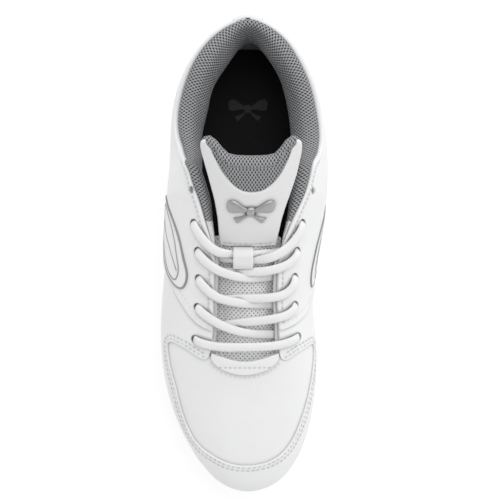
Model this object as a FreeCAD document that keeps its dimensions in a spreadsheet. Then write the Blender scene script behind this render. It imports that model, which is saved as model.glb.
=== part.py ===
import FreeCAD, Part
import math
import os

from FreeCAD import Placement, Rotation, Vector

# A right cheer shoe. +Z is up, the heel is toward +Y, the medial side is +X. The origin is on the ground, under the
# middle of the shoe's box. Lengths are millimetres.

DOC = FreeCAD.newDocument("cheer_shoe")

# ---------------------------------------------------------------------------------------------- driving dimensions
DIMENSIONS = {
    "shoe_length": 276.0,
    "ball_width": 96.0,
    "outsole_thickness": 4.5,
    "heel_stack": 26.0,
    "ball_stack": 16.5,
    "toe_spring": 12.0,
    "board_thickness": 1.5,
    "sockliner_thickness": 4.5,
    "slab_width": 160.0,
    "leather": 1.6,
    "backing": 0.8,
    "lining": 1.0,
    "clearance": 0.4,
    "lace_diameter": 3.6,
    "eyelet_diameter": 5.0,
    "tongue_width": 44.0,
    "tongue_length": 53.0,
    "tongue_lean": 38.0,
    "tongue_padding": 8.0,
    "loop_width": 10.7,
    "groove_width": 2.2,
    "groove_depth": 1.6,
    "groove_pitch": 13.0,
    "aglet_length": 20.0,
    "badge_height": 0.8,
}

sheet = DOC.addObject("Spreadsheet::Sheet", "dims")
for row, (alias, value) in enumerate(DIMENSIONS.items(), start=1):
    sheet.set(f"A{row}", alias)
    sheet.set(f"B{row}", str(value))
    sheet.setAlias(f"B{row}", alias)
DOC.recompute()


def dim(alias):
    return float(sheet.get(alias))


LENGTH_SCALE = dim("shoe_length") / 276.0
WIDTH_SCALE = dim("ball_width") / 96.0
LEATHER = dim("leather")
BACKING_DEPTH = LEATHER + dim("backing")
LINING_DEPTH = BACKING_DEPTH + dim("lining")
CLEARANCE = dim("clearance")
CREST_X = 4.0 * WIDTH_SCALE

# ------------------------------------------------------------------------------------------------- helper functions
SUBPARTS = []


def register(obj):
    SUBPARTS.append(obj)
    return obj


def feature(label, shape):
    """A sub-part whose shape is built with Part's own functions."""
    obj = DOC.addObject("Part::Feature", label)
    placement = shape.Placement
    obj.Label = label
    obj.Shape = shape
    obj.Placement = placement
    return register(obj)


def smooth(points):
    """One B-spline edge through the points."""
    curve = Part.BSplineCurve()
    curve.interpolate(points)
    return curve.toShape()


def closed_smooth(points):
    curve = Part.BSplineCurve()
    curve.interpolate(Points=points, PeriodicFlag=True)
    return curve.toShape()


def polyline(points):
    return [Part.LineSegment(a, b).toShape() for a, b in zip(points, points[1:])]


def plan(points):
    """Points of the top view, scaled to the shoe."""
    return [Vector(x * WIDTH_SCALE, y * LENGTH_SCALE, 0) for x, y in points]


def side(points):
    """Points of the side view."""
    return [Vector(0, y * LENGTH_SCALE, z) for y, z in points]


def prism_up(edges, low=-5.0, high=150.0):
    """The closed top-view outline, raised to a solid between two heights."""
    face = Part.Face(Part.Wire(Part.sortEdges(edges)[0]))
    face.translate(Vector(0, 0, low))
    return face.extrude(Vector(0, 0, high - low))


def prism_across(edges, half_width=80.0):
    """The closed side-view outline, extruded across the shoe."""
    face = Part.Face(Part.Wire(Part.sortEdges(edges)[0]))
    face.translate(Vector(-half_width, 0, 0))
    return face.extrude(Vector(2 * half_width, 0, 0))


def cubic(table, place):
    """Catmull-Rom interpolation of a table of rows, at a fractional row number."""
    last = len(table) - 1
    index = min(int(place), last - 1)
    t = place - index
    a = table[max(index - 1, 0)]
    b = table[index]
    c = table[index + 1]
    d = table[min(index + 2, last)]
    return [
        q + 0.5 * t * (r - p + t * (2 * p - 5 * q + 4 * r - s + t * (3 * (q - r) + s - p)))
        for p, q, r, s in zip(a, b, c, d)
    ]


# ------------------------------------------------------------------------------------------------ sole side profiles
# Places along the shoe: the ground contact, as a part of the toe spring and then as a rise at the heel, and the
# footbed, as a part of the rise from the ball's stack to the toe's or the heel's.
TOE_SPRING = dim("toe_spring")
TOE_RISE = [(-138, 1.0), (-127, 0.72), (-112, 0.38), (-95, 0.13), (-78, 0.02), (-64, 0.0)]
HEEL_BEVEL = [(104, 0.0), (122, 0.9), (138, 3.0)]
FOOTBED = [
    (-138, 0.79), (-118, 0.36), (-98, 0.08), (-75, 0.0), (-45, 0.06), (-15, 0.32), (20, 0.68), (60, 0.95), (95, 1.0),
    (138, 1.0),
]
TOE_BED_RISE = 9.0


def ground_profile(lift=0.0):
    """The tread's side view: a toe curve, a flat run and a heel curve, tangent to each other."""
    toe = side([(y, part * TOE_SPRING + lift) for y, part in TOE_RISE])
    heel = side([(y, rise + lift) for y, rise in HEEL_BEVEL])
    level = Vector(0, 1, 0)
    toe_curve = Part.BSplineCurve()
    toe_curve.interpolate(Points=toe, InitialTangent=(toe[1] - toe[0]).normalize(), FinalTangent=level)
    heel_curve = Part.BSplineCurve()
    heel_curve.interpolate(Points=heel, InitialTangent=level, FinalTangent=(heel[-1] - heel[-2]).normalize())
    return [toe_curve, Part.LineSegment(toe[-1], heel[0]), heel_curve], toe[0], heel[-1]


def footbed_height(part, toe):
    low = dim("ball_stack")
    return low + part * (TOE_BED_RISE if toe else dim("heel_stack") - low)


def footbed_points(lift=0.0):
    return side([(y, footbed_height(part, y < -75) + lift) for y, part in FOOTBED])


def footbed_profile(lift=0.0):
    points = footbed_points(lift)
    curve = Part.BSplineCurve()
    curve.interpolate(points)
    return [curve], points[0], points[-1]


# ---------------------------------------------------------------------------------------------------- sole top view
SOLE_OUTLINE = [
    (4.5, -138), (21, -132.5), (33.5, -120.5), (41, -101), (45, -81), (46.7, -58), (44.5, -34), (40.5, -10),
    (39, 15), (39.4, 45), (40.5, 75), (39.6, 100), (33.6, 120.5), (20, 134.3), (3.6, 138), (-12.6, 134.3),
    (-26.4, 120.5), (-33, 100), (-35.4, 75), (-37.8, 45), (-41.6, 15), (-46.4, -12), (-49.3, -37), (-48.3, -60),
    (-44, -83), (-37, -101), (-26, -120.5), (-12.2, -132.6),
]


def inset_outline(points, distance):
    """The outline's points moved inward by a distance."""
    moved = []
    for i, point in enumerate(points):
        tangent = points[(i + 1) % len(points)] - points[i - 1]
        inward = Vector(-tangent.y, tangent.x, 0).normalize()
        moved.append(point + inward * distance)
    return moved


def sole_body(label, lower, upper, inset):
    """A body padded across the shoe from its side profile, then trimmed to the sole's outline."""
    body = DOC.addObject("PartDesign::Body", label)
    body.Label = label
    planes = {f.Role: f for f in body.Origin.OriginFeatures}
    profile = body.newObject("Sketcher::SketchObject", label + "_profile")
    profile.AttachmentSupport = [(planes["YZ_Plane"], "")]
    profile.MapMode = "FlatFace"
    to_sketch = Placement(Vector(), Rotation(Vector(0, 1, 0), Vector(0, 0, 1), Vector(1, 0, 0), "ZXY")).inverse()
    low_curves, low_toe, low_heel = lower
    top_curves, top_toe, top_heel = upper
    ends = [Part.LineSegment(low_toe, top_toe), Part.LineSegment(low_heel, top_heel)]
    for curve in low_curves + top_curves + ends:
        flat = curve.copy()
        flat.transform(to_sketch.Matrix)
        profile.addGeometry(flat, False)
    pad = body.newObject("PartDesign::Pad", label + "_pad")
    pad.Profile = profile
    pad.setExpression("Length", "dims.slab_width")
    pad.SideType = "Symmetric"
    DOC.recompute()
    before = pad.Shape.Volume
    outline = body.newObject("Sketcher::SketchObject", label + "_outline")
    outline.AttachmentSupport = [(planes["XY_Plane"], "")]
    outline.MapMode = "FlatFace"
    curve = Part.BSplineCurve()
    curve.interpolate(Points=inset_outline(plan(SOLE_OUTLINE), inset), PeriodicFlag=True)
    outline.addGeometry(curve, False)
    reach_x, reach_y = 100.0, 180.0
    corners = [
        Vector(-reach_x, -reach_y, 0), Vector(reach_x, -reach_y, 0), Vector(reach_x, reach_y, 0),
        Vector(-reach_x, reach_y, 0),
    ]
    for a, b in zip(corners, corners[1:] + corners[:1]):
        outline.addGeometry(Part.LineSegment(a, b), False)
    trim = body.newObject("PartDesign::Pocket", label + "_trim")
    trim.Profile = outline
    trim.Type = "ThroughAll"
    trim.SideType = "Symmetric"
    body.Tip = trim
    DOC.recompute()
    assert trim.Shape.Volume < 0.9 * before, label
    return register(body), planes


def cut_flex_grooves(body, planes, first, count):
    """Shallow grooves across the tread, where the forefoot flexes."""
    before = body.Shape.Volume
    sketch = body.newObject("Sketcher::SketchObject", body.Label + "_groove_sketch")
    sketch.AttachmentSupport = [(planes["YZ_Plane"], "")]
    sketch.MapMode = "FlatFace"
    half = dim("groove_width") / 2
    depth = dim("groove_depth")
    corners = [
        Vector(first - half, -3, 0), Vector(first + half, -3, 0), Vector(first + half, depth, 0),
        Vector(first - half, depth, 0),
    ]
    for a, b in zip(corners, corners[1:] + corners[:1]):
        sketch.addGeometry(Part.LineSegment(a, b), False)
    groove = body.newObject("PartDesign::Pocket", body.Label + "_groove")
    groove.Profile = sketch
    groove.Type = "ThroughAll"
    groove.SideType = "Symmetric"
    DOC.recompute()
    pattern = body.newObject("PartDesign::LinearPattern", body.Label + "_grooves")
    pattern.Originals = [groove]
    pattern.Direction = (planes["XZ_Plane"], [""])
    pattern.Reversed = True
    pattern.setExpression("Length", f"dims.groove_pitch * {count - 1}")
    pattern.Occurrences = count
    body.Tip = pattern
    DOC.recompute()
    assert body.Shape.Volume < before - 50.0, "the tread grooves removed nothing"


BOARD_INSET = 7.6
SOCKLINER_INSET = 8.8
board_top = dim("board_thickness")
sock_bottom = board_top + CLEARANCE
sock_top = sock_bottom + dim("sockliner_thickness")
outsole, outsole_planes = sole_body(
    "outsole", ground_profile(), ground_profile(dim("outsole_thickness")), 0.0
)
cut_flex_grooves(outsole, outsole_planes, -62.0, 10)
sole_body("midsole", ground_profile(dim("outsole_thickness")), footbed_profile(), 0.0)
sole_body("lasting_board", footbed_profile(), footbed_profile(board_top), BOARD_INSET)
sole_body("sockliner", footbed_profile(sock_bottom), footbed_profile(sock_top), SOCKLINER_INSET)

# ----------------------------------------------------------------------------------------- the upper's outer surface
# Cross-sections from toe to heel: place along the shoe, lateral and medial x at the widest level, height of that level,
# height of the crest, squareness of the dome, and the part of each half width left at the foot of the wall.
LAST = [
    (-135.8, 1.5, 7.5, 27.0, 32.0, 2.2, 1.0, 1.0),
    (-134.6, -4.0, 13.0, 27.5, 35.5, 2.2, 1.0, 1.0),
    (-131.5, -11.0, 20.0, 28.0, 39.5, 2.2, 0.99, 0.99),
    (-125.5, -18.2, 27.0, 28.0, 43.2, 2.3, 0.985, 0.985),
    (-116.0, -25.6, 33.6, 28.0, 46.3, 2.35, 0.98, 0.98),
    (-104.0, -33.0, 38.6, 27.5, 48.8, 2.4, 0.98, 0.98),
    (-88.0, -40.0, 42.6, 27.0, 51.6, 2.4, 0.98, 0.98),
    (-68.0, -45.4, 44.9, 27.0, 56.0, 2.4, 0.98, 0.98),
    (-46.0, -47.5, 44.5, 28.0, 63.5, 2.35, 0.98, 0.965),
    (-22.0, -46.6, 42.6, 32.0, 72.0, 2.3, 0.965, 0.92),
    (5.0, -43.2, 43.4, 40.0, 82.5, 2.3, 0.93, 0.83),
    (32.0, -40.5, 46.4, 48.0, 94.5, 2.3, 0.89, 0.765),
    (60.0, -39.3, 48.6, 53.0, 108.0, 2.35, 0.865, 0.745),
    (84.0, -38.3, 45.6, 54.0, 120.0, 2.4, 0.85, 0.80),
    (102.0, -34.2, 40.8, 52.0, 126.0, 2.4, 0.89, 0.885),
    (116.0, -26.4, 34.0, 50.0, 128.0, 2.4, 0.94, 0.93),
    (126.0, -17.4, 26.0, 50.0, 128.0, 2.4, 0.95, 0.95),
    (132.6, -7.6, 16.2, 50.0, 127.0, 2.4, 0.95, 0.95),
    (135.8, 1.0, 8.0, 50.0, 126.0, 2.4, 0.95, 0.95),
]
FLOOR_UNDER = 4.0
SECTION_ANGLES = (15, 32, 48, 63, 77)
LAST_ROW = len(LAST) - 1
# The rows of LAST, with one more between each two near the tips of toe and heel.
LOFT_PLACES = sorted(
    list(range(LAST_ROW + 1)) + [0.5, 1.5, 2.5, 3.5, LAST_ROW - 3.5, LAST_ROW - 2.5, LAST_ROW - 1.5, LAST_ROW - 0.5]
)


def eased(inset, room):
    """An inset that fades where there is little room, at the tips of toe and heel."""
    return inset * min(1.0, room / 12.0)


def footbed_z(y):
    """The footbed's height at a place along the shoe."""
    heights = [(p.y, p.z) for p in footbed_points()]
    for (y0, z0), (y1, z1) in zip(heights, heights[1:]):
        if y <= y1:
            return z0 + (z1 - z0) * (y - y0) / (y1 - y0)
    return heights[-1][1]


def section(place, inset):
    """One cross-section's measures at a fractional row of LAST, inset from the outer surface."""
    y, lateral, medial, wide_z, crest_z, squareness, lateral_foot, medial_foot = cubic(LAST, place)
    y *= LENGTH_SCALE * (1 - 2 * inset / dim("shoe_length"))
    lateral *= WIDTH_SCALE
    medial *= WIDTH_SCALE
    lateral += eased(inset, CREST_X - lateral)
    medial -= eased(inset, medial - CREST_X)
    crest_z -= eased(inset, crest_z - wide_z)
    return y, lateral, medial, wide_z, crest_z, squareness, lateral_foot, medial_foot


def section_points(place, inset):
    """Points from the lateral foot of the wall, over the crest, to the medial foot."""
    y, lateral, medial, wide_z, crest_z, squareness, lateral_foot, medial_foot = section(place, inset)
    floor = footbed_z(y) - FLOOR_UNDER + 0.05 * inset

    def half(wide_x, foot):
        width = wide_x - CREST_X
        rows = [(CREST_X + width * foot, floor)]
        rows.append((CREST_X + width * (foot + 0.72 * (1 - foot)), 0.5 * (floor + wide_z)))
        rows.append((wide_x, wide_z))
        for angle in SECTION_ANGLES:
            c = math.cos(math.radians(angle)) ** (2 / squareness)
            s = math.sin(math.radians(angle)) ** (2 / squareness)
            rows.append((CREST_X + width * c, wide_z + (crest_z - wide_z) * s))
        return rows

    points = half(lateral, lateral_foot) + [(CREST_X, crest_z)] + list(reversed(half(medial, medial_foot)))
    return [Vector(x, y, z) for x, z in points]


def last_solid(inset):
    """The closed form inside the upper, at a depth below its outer surface."""
    wires = []
    for place in LOFT_PLACES:
        points = section_points(place, inset)
        wires.append(Part.Wire([smooth(points), Part.LineSegment(points[-1], points[0]).toShape()]))
    return Part.makeLoft(wires, True, False)


def place_of(y):
    """The fractional row of LAST at a distance along the shoe."""
    low, high = 0.0, len(LAST) - 1.0
    for _ in range(40):
        middle = (low + high) / 2
        if cubic(LAST, middle)[0] * LENGTH_SCALE < y:
            low = middle
        else:
            high = middle
    return low


def surface(x, y, inset=0.0):
    """The point of the upper's surface above a place of the top view."""
    _, lateral, medial, wide_z, crest_z, squareness, _, _ = section(place_of(y), inset)
    width = (lateral if x < CREST_X else medial) - CREST_X
    part = min(abs((x - CREST_X) / width), 0.999)
    return Vector(x, y, wide_z + (crest_z - wide_z) * (1 - part**squareness) ** (1 / squareness))


def normal(x, y):
    step = 0.5
    across = surface(x + step, y) - surface(x - step, y)
    along = surface(x, y + step) - surface(x, y - step)
    return across.cross(along).normalize()


# ------------------------------------------------------------------------------------------------- openings and seams
TOPLINE = [(145, 79.5), (134, 79), (120, 76.5), (104, 72), (88, 68.5), (76, 68.5), (66, 73), (59, 81), (54, 91)]
TOPLINE_CORNER = (50, 104)
ABOVE = 175.0


def topline_region():
    """The side-view region between the footbed and the topline."""
    bed = footbed_points()
    top = side(TOPLINE)
    corner = side([TOPLINE_CORNER])[0]
    rim = [
        top[-1], corner, Vector(0, corner.y, ABOVE), Vector(0, bed[0].y - 5, ABOVE), Vector(0, bed[0].y - 5, bed[0].z),
        bed[0],
    ]
    heel = [bed[-1], Vector(0, top[0].y, bed[-1].z), top[0]]
    return prism_across([smooth(bed), smooth(top)] + polyline(rim) + polyline(heel))


# The throat slot in the top view: leather edge, and the padded edge inside it.
LEATHER_SLOT = [
    (-24, 64), (-24, 56), (-21.5, 46), (-19, 36), (-16.5, 26), (-14.6, 12), (-14.4, 0), (-14.8, -16), (-15.6, -32),
    (-15.4, -43), (-10, -49), (3, -51), (16, -49), (21.6, -43), (21.8, -32), (21.6, -16), (21.8, 0), (22.6, 12),
    (27, 26), (31, 36), (34.6, 46), (37, 56), (37, 64),
]
PADDED_SLOT = [
    (-21, 64), (-20, 56), (-18, 46), (-16, 36), (-14, 26), (-13.4, 12), (-13.4, 0), (-13.8, -16), (-14.6, -32),
    (-14.4, -43), (-9, -48), (3, -50), (15, -48), (20.6, -43), (20.8, -32), (20.6, -16), (20.8, 0), (21.2, 12),
    (23.4, 26), (25.5, 36), (27.4, 46), (28.6, 56), (29, 64),
]


def slot(points):
    outline = plan(points)
    return prism_up([smooth(outline), Part.LineSegment(outline[-1], outline[0]).toShape()], 30.0, ABOVE)


VAMP_OUTLINE = [
    (-43, -47), (-44.2, -56), (-41.4, -70), (-37.6, -83), (-32, -98), (-25.4, -108), (-18, -114), (-6, -118.4),
    (4.5, -119.4), (14, -118.4), (23, -113.4), (31, -105), (37, -91), (41, -77), (43, -62), (43.6, -50), (43.4, -47),
]
SADDLE_FRONT = [
    (-60, -44), (-46, -46), (-36, -50), (-26.6, -55.6), (-21, -57), (-16, -52), (-4, -52.6), (4, -52.8), (12, -52.6),
    (20, -52), (26, -56), (34, -52), (42, -47.6), (60, -45),
]
QUARTER_FRONT = [
    (-60, 6), (-42, -2), (-36, -17), (-29, -31), (-22, -38), (-12, -43), (18, -43), (26, -38), (33, -31), (42, -20),
    (60, 0),
]


def band(front, back_y):
    """The top-view region behind a seam, up to a straight line."""
    seam = plan(front)
    far = [seam[-1], Vector(seam[-1].x, back_y, 0), Vector(seam[0].x, back_y, 0), seam[0]]
    return prism_up([smooth(seam)] + polyline(far))


def largest(shape):
    return max(shape.Solids, key=lambda solid: solid.Volume)


def box(x0, x1, y0, y1, z0, z1):
    return Part.makeBox(x1 - x0, y1 - y0, z1 - z0, Vector(x0, y0, z0))


body_region = topline_region()
outer = last_solid(0.0)
leather_inside = last_solid(LEATHER)
backing_inside = last_solid(BACKING_DEPTH)
lining_inside = last_solid(LINING_DEPTH)

# --------------------------------------------------------------------------------------------------- eyelets and lace
EYELETS = {
    -1: [(-27.5, 40), (-24.6, 23.4), (-22.8, 8.4), (-22.6, -6.6), (-23.6, -22.6), (-25.4, -41)],
    1: [(40.5, 40), (33.6, 23.4), (31, 8.4), (30, -6.0), (30.4, -21.8), (32.6, -40.4)],
}
LACE_R = dim("lace_diameter") / 2
OVER = LACE_R + 0.7
UNDER = LINING_DEPTH + LACE_R + 0.7


def eyelet_frame(sign, number):
    """An eyelet's surface point, its outward normal, and the direction toward the throat."""
    x, y = EYELETS[sign][number]
    x *= WIDTH_SCALE
    y *= LENGTH_SCALE
    up = normal(x, y)
    inward = Vector(-sign, 0, 0)
    inward = (inward - up * inward.dot(up)).normalize()
    return surface(x, y), up, inward


def eyelet_drills():
    tools = []
    radius = dim("eyelet_diameter") / 2
    for sign, places in EYELETS.items():
        for number in range(len(places)):
            spot, up, _ = eyelet_frame(sign, number)
            tools.append(Part.makeCylinder(radius, 14.0, spot - up * 8.0, up))
    return tools


DRILLS = Part.makeCompound(eyelet_drills())

# ------------------------------------------------------------------------------------------------ leather shell panels
shell = outer.cut(leather_inside).common(body_region).cut(slot(LEATHER_SLOT))
vamp_prism = prism_up([smooth(plan(VAMP_OUTLINE)), Part.LineSegment(
    plan(VAMP_OUTLINE)[-1], plan(VAMP_OUTLINE)[0]).toShape()])
behind_saddle = band(SADDLE_FRONT, 170.0)
behind_quarter = band(QUARTER_FRONT, 170.0)
lateral_half = box(-90, CREST_X, -200, 200, -10, 200)
medial_half = box(CREST_X, 90, -200, 200, -10, 200)
backstay_block = box(CREST_X - 11, CREST_X + 11, 110, 170, -10, 200)

front = shell.cut(behind_saddle)
vamp = front.common(vamp_prism)
toe_foxing = front.cut(vamp_prism)
saddle = shell.common(behind_saddle).cut(behind_quarter).cut(DRILLS)
quarters = shell.common(behind_quarter)
backstay = quarters.common(backstay_block)
quarters = quarters.cut(backstay_block).cut(DRILLS)

feature("vamp", vamp)
feature("toe_foxing", toe_foxing)
feature("saddle_lateral", saddle.common(lateral_half))
feature("saddle_medial", saddle.common(medial_half))
feature("quarter_lateral", quarters.common(lateral_half))
feature("quarter_medial", quarters.common(medial_half))
feature("heel_backstay", backstay)

# --------------------------------------------------------------------------------- stiffeners between leather and lining
board_pocket = prism_up([closed_smooth(inset_outline(plan(SOLE_OUTLINE), BOARD_INSET - CLEARANCE))], 5.0, 29.0)
sock_pocket = prism_up([closed_smooth(inset_outline(plan(SOLE_OUTLINE), SOCKLINER_INSET - 2 * CLEARANCE))], 5.0, 38.0)
foot_pocket = board_pocket.fuse(sock_pocket)
backing = leather_inside.cut(backing_inside).common(body_region).cut(foot_pocket)
PUFF_BACK = -84.0
COUNTER_FRONT = 74.0
COUNTER_TOP = 58.0
BACKING_STRIP = {
    -1: [(-15.9, 20), (-15.9, -46), (-30, -46), (-28, -20), (-28, 8), (-30, 28), (-20, 28)],
    1: [(22.9, -46), (23.2, 8), (28.5, 28), (39, 28), (36, 8), (35, -20), (37, -46)],
}
feature("toe_puff", backing.common(box(-90, 90, -200, PUFF_BACK, 0, 200)))
feature("heel_counter", backing.common(box(-90, 90, COUNTER_FRONT, 200, 0, COUNTER_TOP)))
for sign, name in ((-1, "eyestay_backing_lateral"), (1, "eyestay_backing_medial")):
    corners = plan(BACKING_STRIP[sign])
    strip = prism_up(polyline(corners + corners[:1]))
    feature(name, largest(backing.common(strip).cut(DRILLS)))

# ------------------------------------------------------------------------------------------------- linings and collar
COLLAR_BASE = 48.0
COLLAR_FRONT = 30.0
lining_layer = backing_inside.cut(lining_inside).common(body_region).cut(foot_pocket)
collar_block = box(-90, 90, COLLAR_FRONT, 200, COLLAR_BASE, 200)
low_lining = lining_layer.cut(collar_block).cut(slot(PADDED_SLOT)).cut(DRILLS)
feature("vamp_lining", low_lining.common(box(-90, 90, -200, COLLAR_FRONT, 0, 200)))
feature("heel_lining", low_lining.common(box(-90, 90, COLLAR_FRONT, 200, 0, 200)))

# The foot's opening: a funnel that narrows from the lining at its base to the padded rim.
MOUTH = [
    (5.2, 128), (12.5, 118.5), (19.6, 107), (24.6, 95), (27.4, 83), (28.6, 69), (28.6, 55), (27, 42), (24, 28),
    (21.2, 14), (20.8, 4), (-13.4, 4), (-13.4, 14), (-14.4, 28), (-17, 42), (-19.6, 55), (-21, 69), (-19.4, 83),
    (-15.8, 95), (-9.6, 107), (-2.4, 118.5),
]
FUNNEL_LEVELS = ((COLLAR_BASE - 6.0, 1.0), (COLLAR_BASE + 1.0, 0.86), (62.0, 0.3), (74.0, 0.0), (120.0, 0.0))


def funnel(grow):
    """The space left for the ankle, by height, grown by a wall thickness."""
    wires = []
    base = section(place_of(90.0), LINING_DEPTH)
    for z, spread in FUNNEL_LEVELS:
        points = []
        for point in plan(MOUTH):
            middle = Vector(CREST_X, 62.0, 0)
            away = point - middle
            half = abs(base[1] - CREST_X) if away.x < 0 else abs(base[2] - CREST_X)
            stretch_x = 1 + spread * (half / 24.0 - 1)
            stretch_y = 1 + spread * 0.055
            out = Vector(away.x * stretch_x, away.y * stretch_y, 0)
            out = out + Vector(out).normalize() * grow
            points.append(Vector(middle.x + out.x, middle.y + out.y, z))
        wires.append(Part.Wire([closed_smooth(points)]))
    return Part.makeLoft(wires, True, False)


collar_space = backing_inside.common(body_region).common(collar_block).cut(slot(PADDED_SLOT))
mouth_inner = funnel(0.0)
mouth_outer = funnel(dim("lining"))
feature("collar_lining", collar_space.common(mouth_outer).cut(mouth_inner).cut(DRILLS))
feature("collar_foam", collar_space.cut(mouth_outer).cut(DRILLS))


# ------------------------------------------------------------------------------- overlays on the upper's outer surface
def overlay(thickness, region):
    """A layer laid on the leather, inside a region."""
    return last_solid(-thickness).cut(outer).common(body_region).common(region)


TRIM_OUTLINE = [
    (-15.4, -48.5), (-16.2, -53), (-14.6, -57.6), (-8, -61), (3, -62.6), (14, -61), (20.8, -57.6), (22.4, -53),
    (21.6, -48.5),
]
EMBLEM_OUTLINE = [
    (39, 57), (34, 65), (25.5, 70.6), (14, 72.6), (3, 71.4), (-7.5, 69), (-12, 65.8), (-9.5, 61.8), (2, 56), (17, 51.4),
    (30, 51.4),
]
MEDIAL_DROP = 13.0
trim_points = plan(TRIM_OUTLINE)
trim_region = prism_up([smooth(trim_points), Part.LineSegment(trim_points[-1], trim_points[0]).toShape()])
feature("throat_trim", overlay(0.8, trim_region.cut(slot(LEATHER_SLOT))))
for name, half, drop in (("lateral", lateral_half, 0.0), ("medial", medial_half, MEDIAL_DROP)):
    emblem_points = side([(y, z - drop) for y, z in EMBLEM_OUTLINE])
    emblem_region = prism_across([closed_smooth(emblem_points)])
    feature("side_emblem_" + name, overlay(0.6, emblem_region.common(half)))

# -------------------------------------------------------------------------------------------------- tongue, fixed part
TONGUE_THICKNESS = 4.4
CROWN_DEPTH = 5.4
EDGE_DEPTH = UNDER + LACE_R + 0.4
HINGE_Y = 11.3 * LENGTH_SCALE
HINGE_GAP = 1.5
# place along the shoe, half width, how far the tongue has sunk to its full depth
TONGUE_ROWS = [(-62, 21, 0.0), (-54, 23, 0.35), (-46, 24, 0.9), (-30, 24.5, 1.0), (-12, 23, 1.0), (0, 19, 1.0)]
START_DEPTH = LINING_DEPTH + CLEARANCE


def tongue_row(y, half_width, sunk, thickness):
    """Points of the fixed tongue's face at a place along the shoe, at a depth under that face."""
    points = []
    for part in (-1.0, -0.6, 0.0, 0.6, 1.0):
        x = CREST_X + part * half_width
        low = CROWN_DEPTH + (EDGE_DEPTH - CROWN_DEPTH) * min(1.0, abs(part) / 0.6)
        depth = START_DEPTH + (low - START_DEPTH) * sunk
        spot = surface(x, y)
        points.append(Vector(x, y, spot.z) - normal(x, y) * (depth + thickness))
    return [Vector(p.x, y, p.z + (y - p.y) * 0.35) for p in points]


def tongue_lower():
    wires = []
    rows = TONGUE_ROWS + [(HINGE_Y - HINGE_GAP, dim("tongue_width") / 2 - 7.5, 1.0)]
    for y, half_width, sunk in rows:
        face = tongue_row(y * LENGTH_SCALE, half_width, sunk, 0.0)
        back = tongue_row(y * LENGTH_SCALE, half_width - 1.0, sunk, TONGUE_THICKNESS)
        sides = [
            Part.LineSegment(face[-1], back[-1]).toShape(), smooth(back[::-1]),
            Part.LineSegment(back[0], face[0]).toShape(),
        ]
        wires.append(Part.Wire([smooth(face)] + sides))
    return Part.makeLoft(wires, True, False)


feature("tongue_lower", tongue_lower())

# ------------------------------------------------------------------------------------------ tongue, the part that flips
LEAN = dim("tongue_lean")
TONGUE_LENGTH = dim("tongue_length")
TONGUE_TOP_HALF = dim("tongue_width") / 2
hinge = surface(CREST_X, HINGE_Y) - Vector(0, 0, CROWN_DEPTH)
COVER = 1.2
PAD_BACK = COVER + dim("tongue_padding")
BACK = PAD_BACK + dim("lining")
# part of the length, half width, how far the sides curl back, part of the full thickness
FLAP_ROWS = [
    (0.0, TONGUE_TOP_HALF - 7.5, 1.6, 0.5), (0.3, TONGUE_TOP_HALF - 4.6, 2.6, 0.8),
    (0.62, TONGUE_TOP_HALF - 1.6, 4.4, 1.0), (0.88, TONGUE_TOP_HALF, 6.4, 0.95), (1.0, TONGUE_TOP_HALF - 0.8, 7.0, 0.7),
]
LEAN_PLACE = Placement(hinge, Rotation(Vector(1, 0, 0), LEAN - 90))
LAYER_GAP = 0.05


def flap_line(row, depth):
    """A line across the upper tongue at a depth, in its own frame: z along the tongue, y toward its back."""
    part, half_width, curl, thick = row
    return [
        Vector(s * half_width, depth * thick + curl * abs(s) ** 2.2, part * TONGUE_LENGTH)
        for s in (-1.0, -0.75, -0.4, 0.0, 0.4, 0.75, 1.0)
    ]


def flap_layer(front, back):
    """A layer of the upper tongue between two depths."""
    wires = []
    for row in FLAP_ROWS:
        near = flap_line(row, front)
        far = flap_line(row, back)
        wires.append(Part.Wire([
            smooth(near), Part.LineSegment(near[-1], far[-1]).toShape(), smooth(far[::-1]),
            Part.LineSegment(far[0], near[0]).toShape(),
        ]))
    layer = Part.makeLoft(wires, True, False)
    layer.Placement = LEAN_PLACE
    return layer


feature("tongue_cover", flap_layer(0.0, COVER))
feature("tongue_pad", flap_layer(COVER, PAD_BACK))
feature("tongue_lining", flap_layer(PAD_BACK + LAYER_GAP, BACK))

# A ribbon bow, flat, in the tongue's frame: two wings, a knot and two tails.
BOW_HALF = [(0, 2.6), (3, 3.4), (8, 6.6), (12.6, 7.4), (13.4, 3.6), (12.6, -0.2), (8, 0.6), (4.6, 1.4), (9, -5.6),
            (5.6, -7.2), (0, -1.6)]
BADGE_AT = 23.5
outline = [Vector(x, -5, z + BADGE_AT) for x, z in BOW_HALF]
outline += [Vector(-x, -5, z + BADGE_AT) for x, z in BOW_HALF[-2:0:-1]]
bow = Part.Face(Part.Wire(polyline(outline + outline[:1]))).extrude(Vector(0, 20, 0))
bow.Placement = LEAN_PLACE
badge = flap_layer(-dim("badge_height"), 0.0).common(bow)
feature("tongue_badge", badge)

# ---------------------------------------------------------------------------------------------------------- lace loop
LOOP_X = 1.8
LOOP_Y = 3.6
LOOP_INNER = 5.6
WEBBING = 1.1


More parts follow.
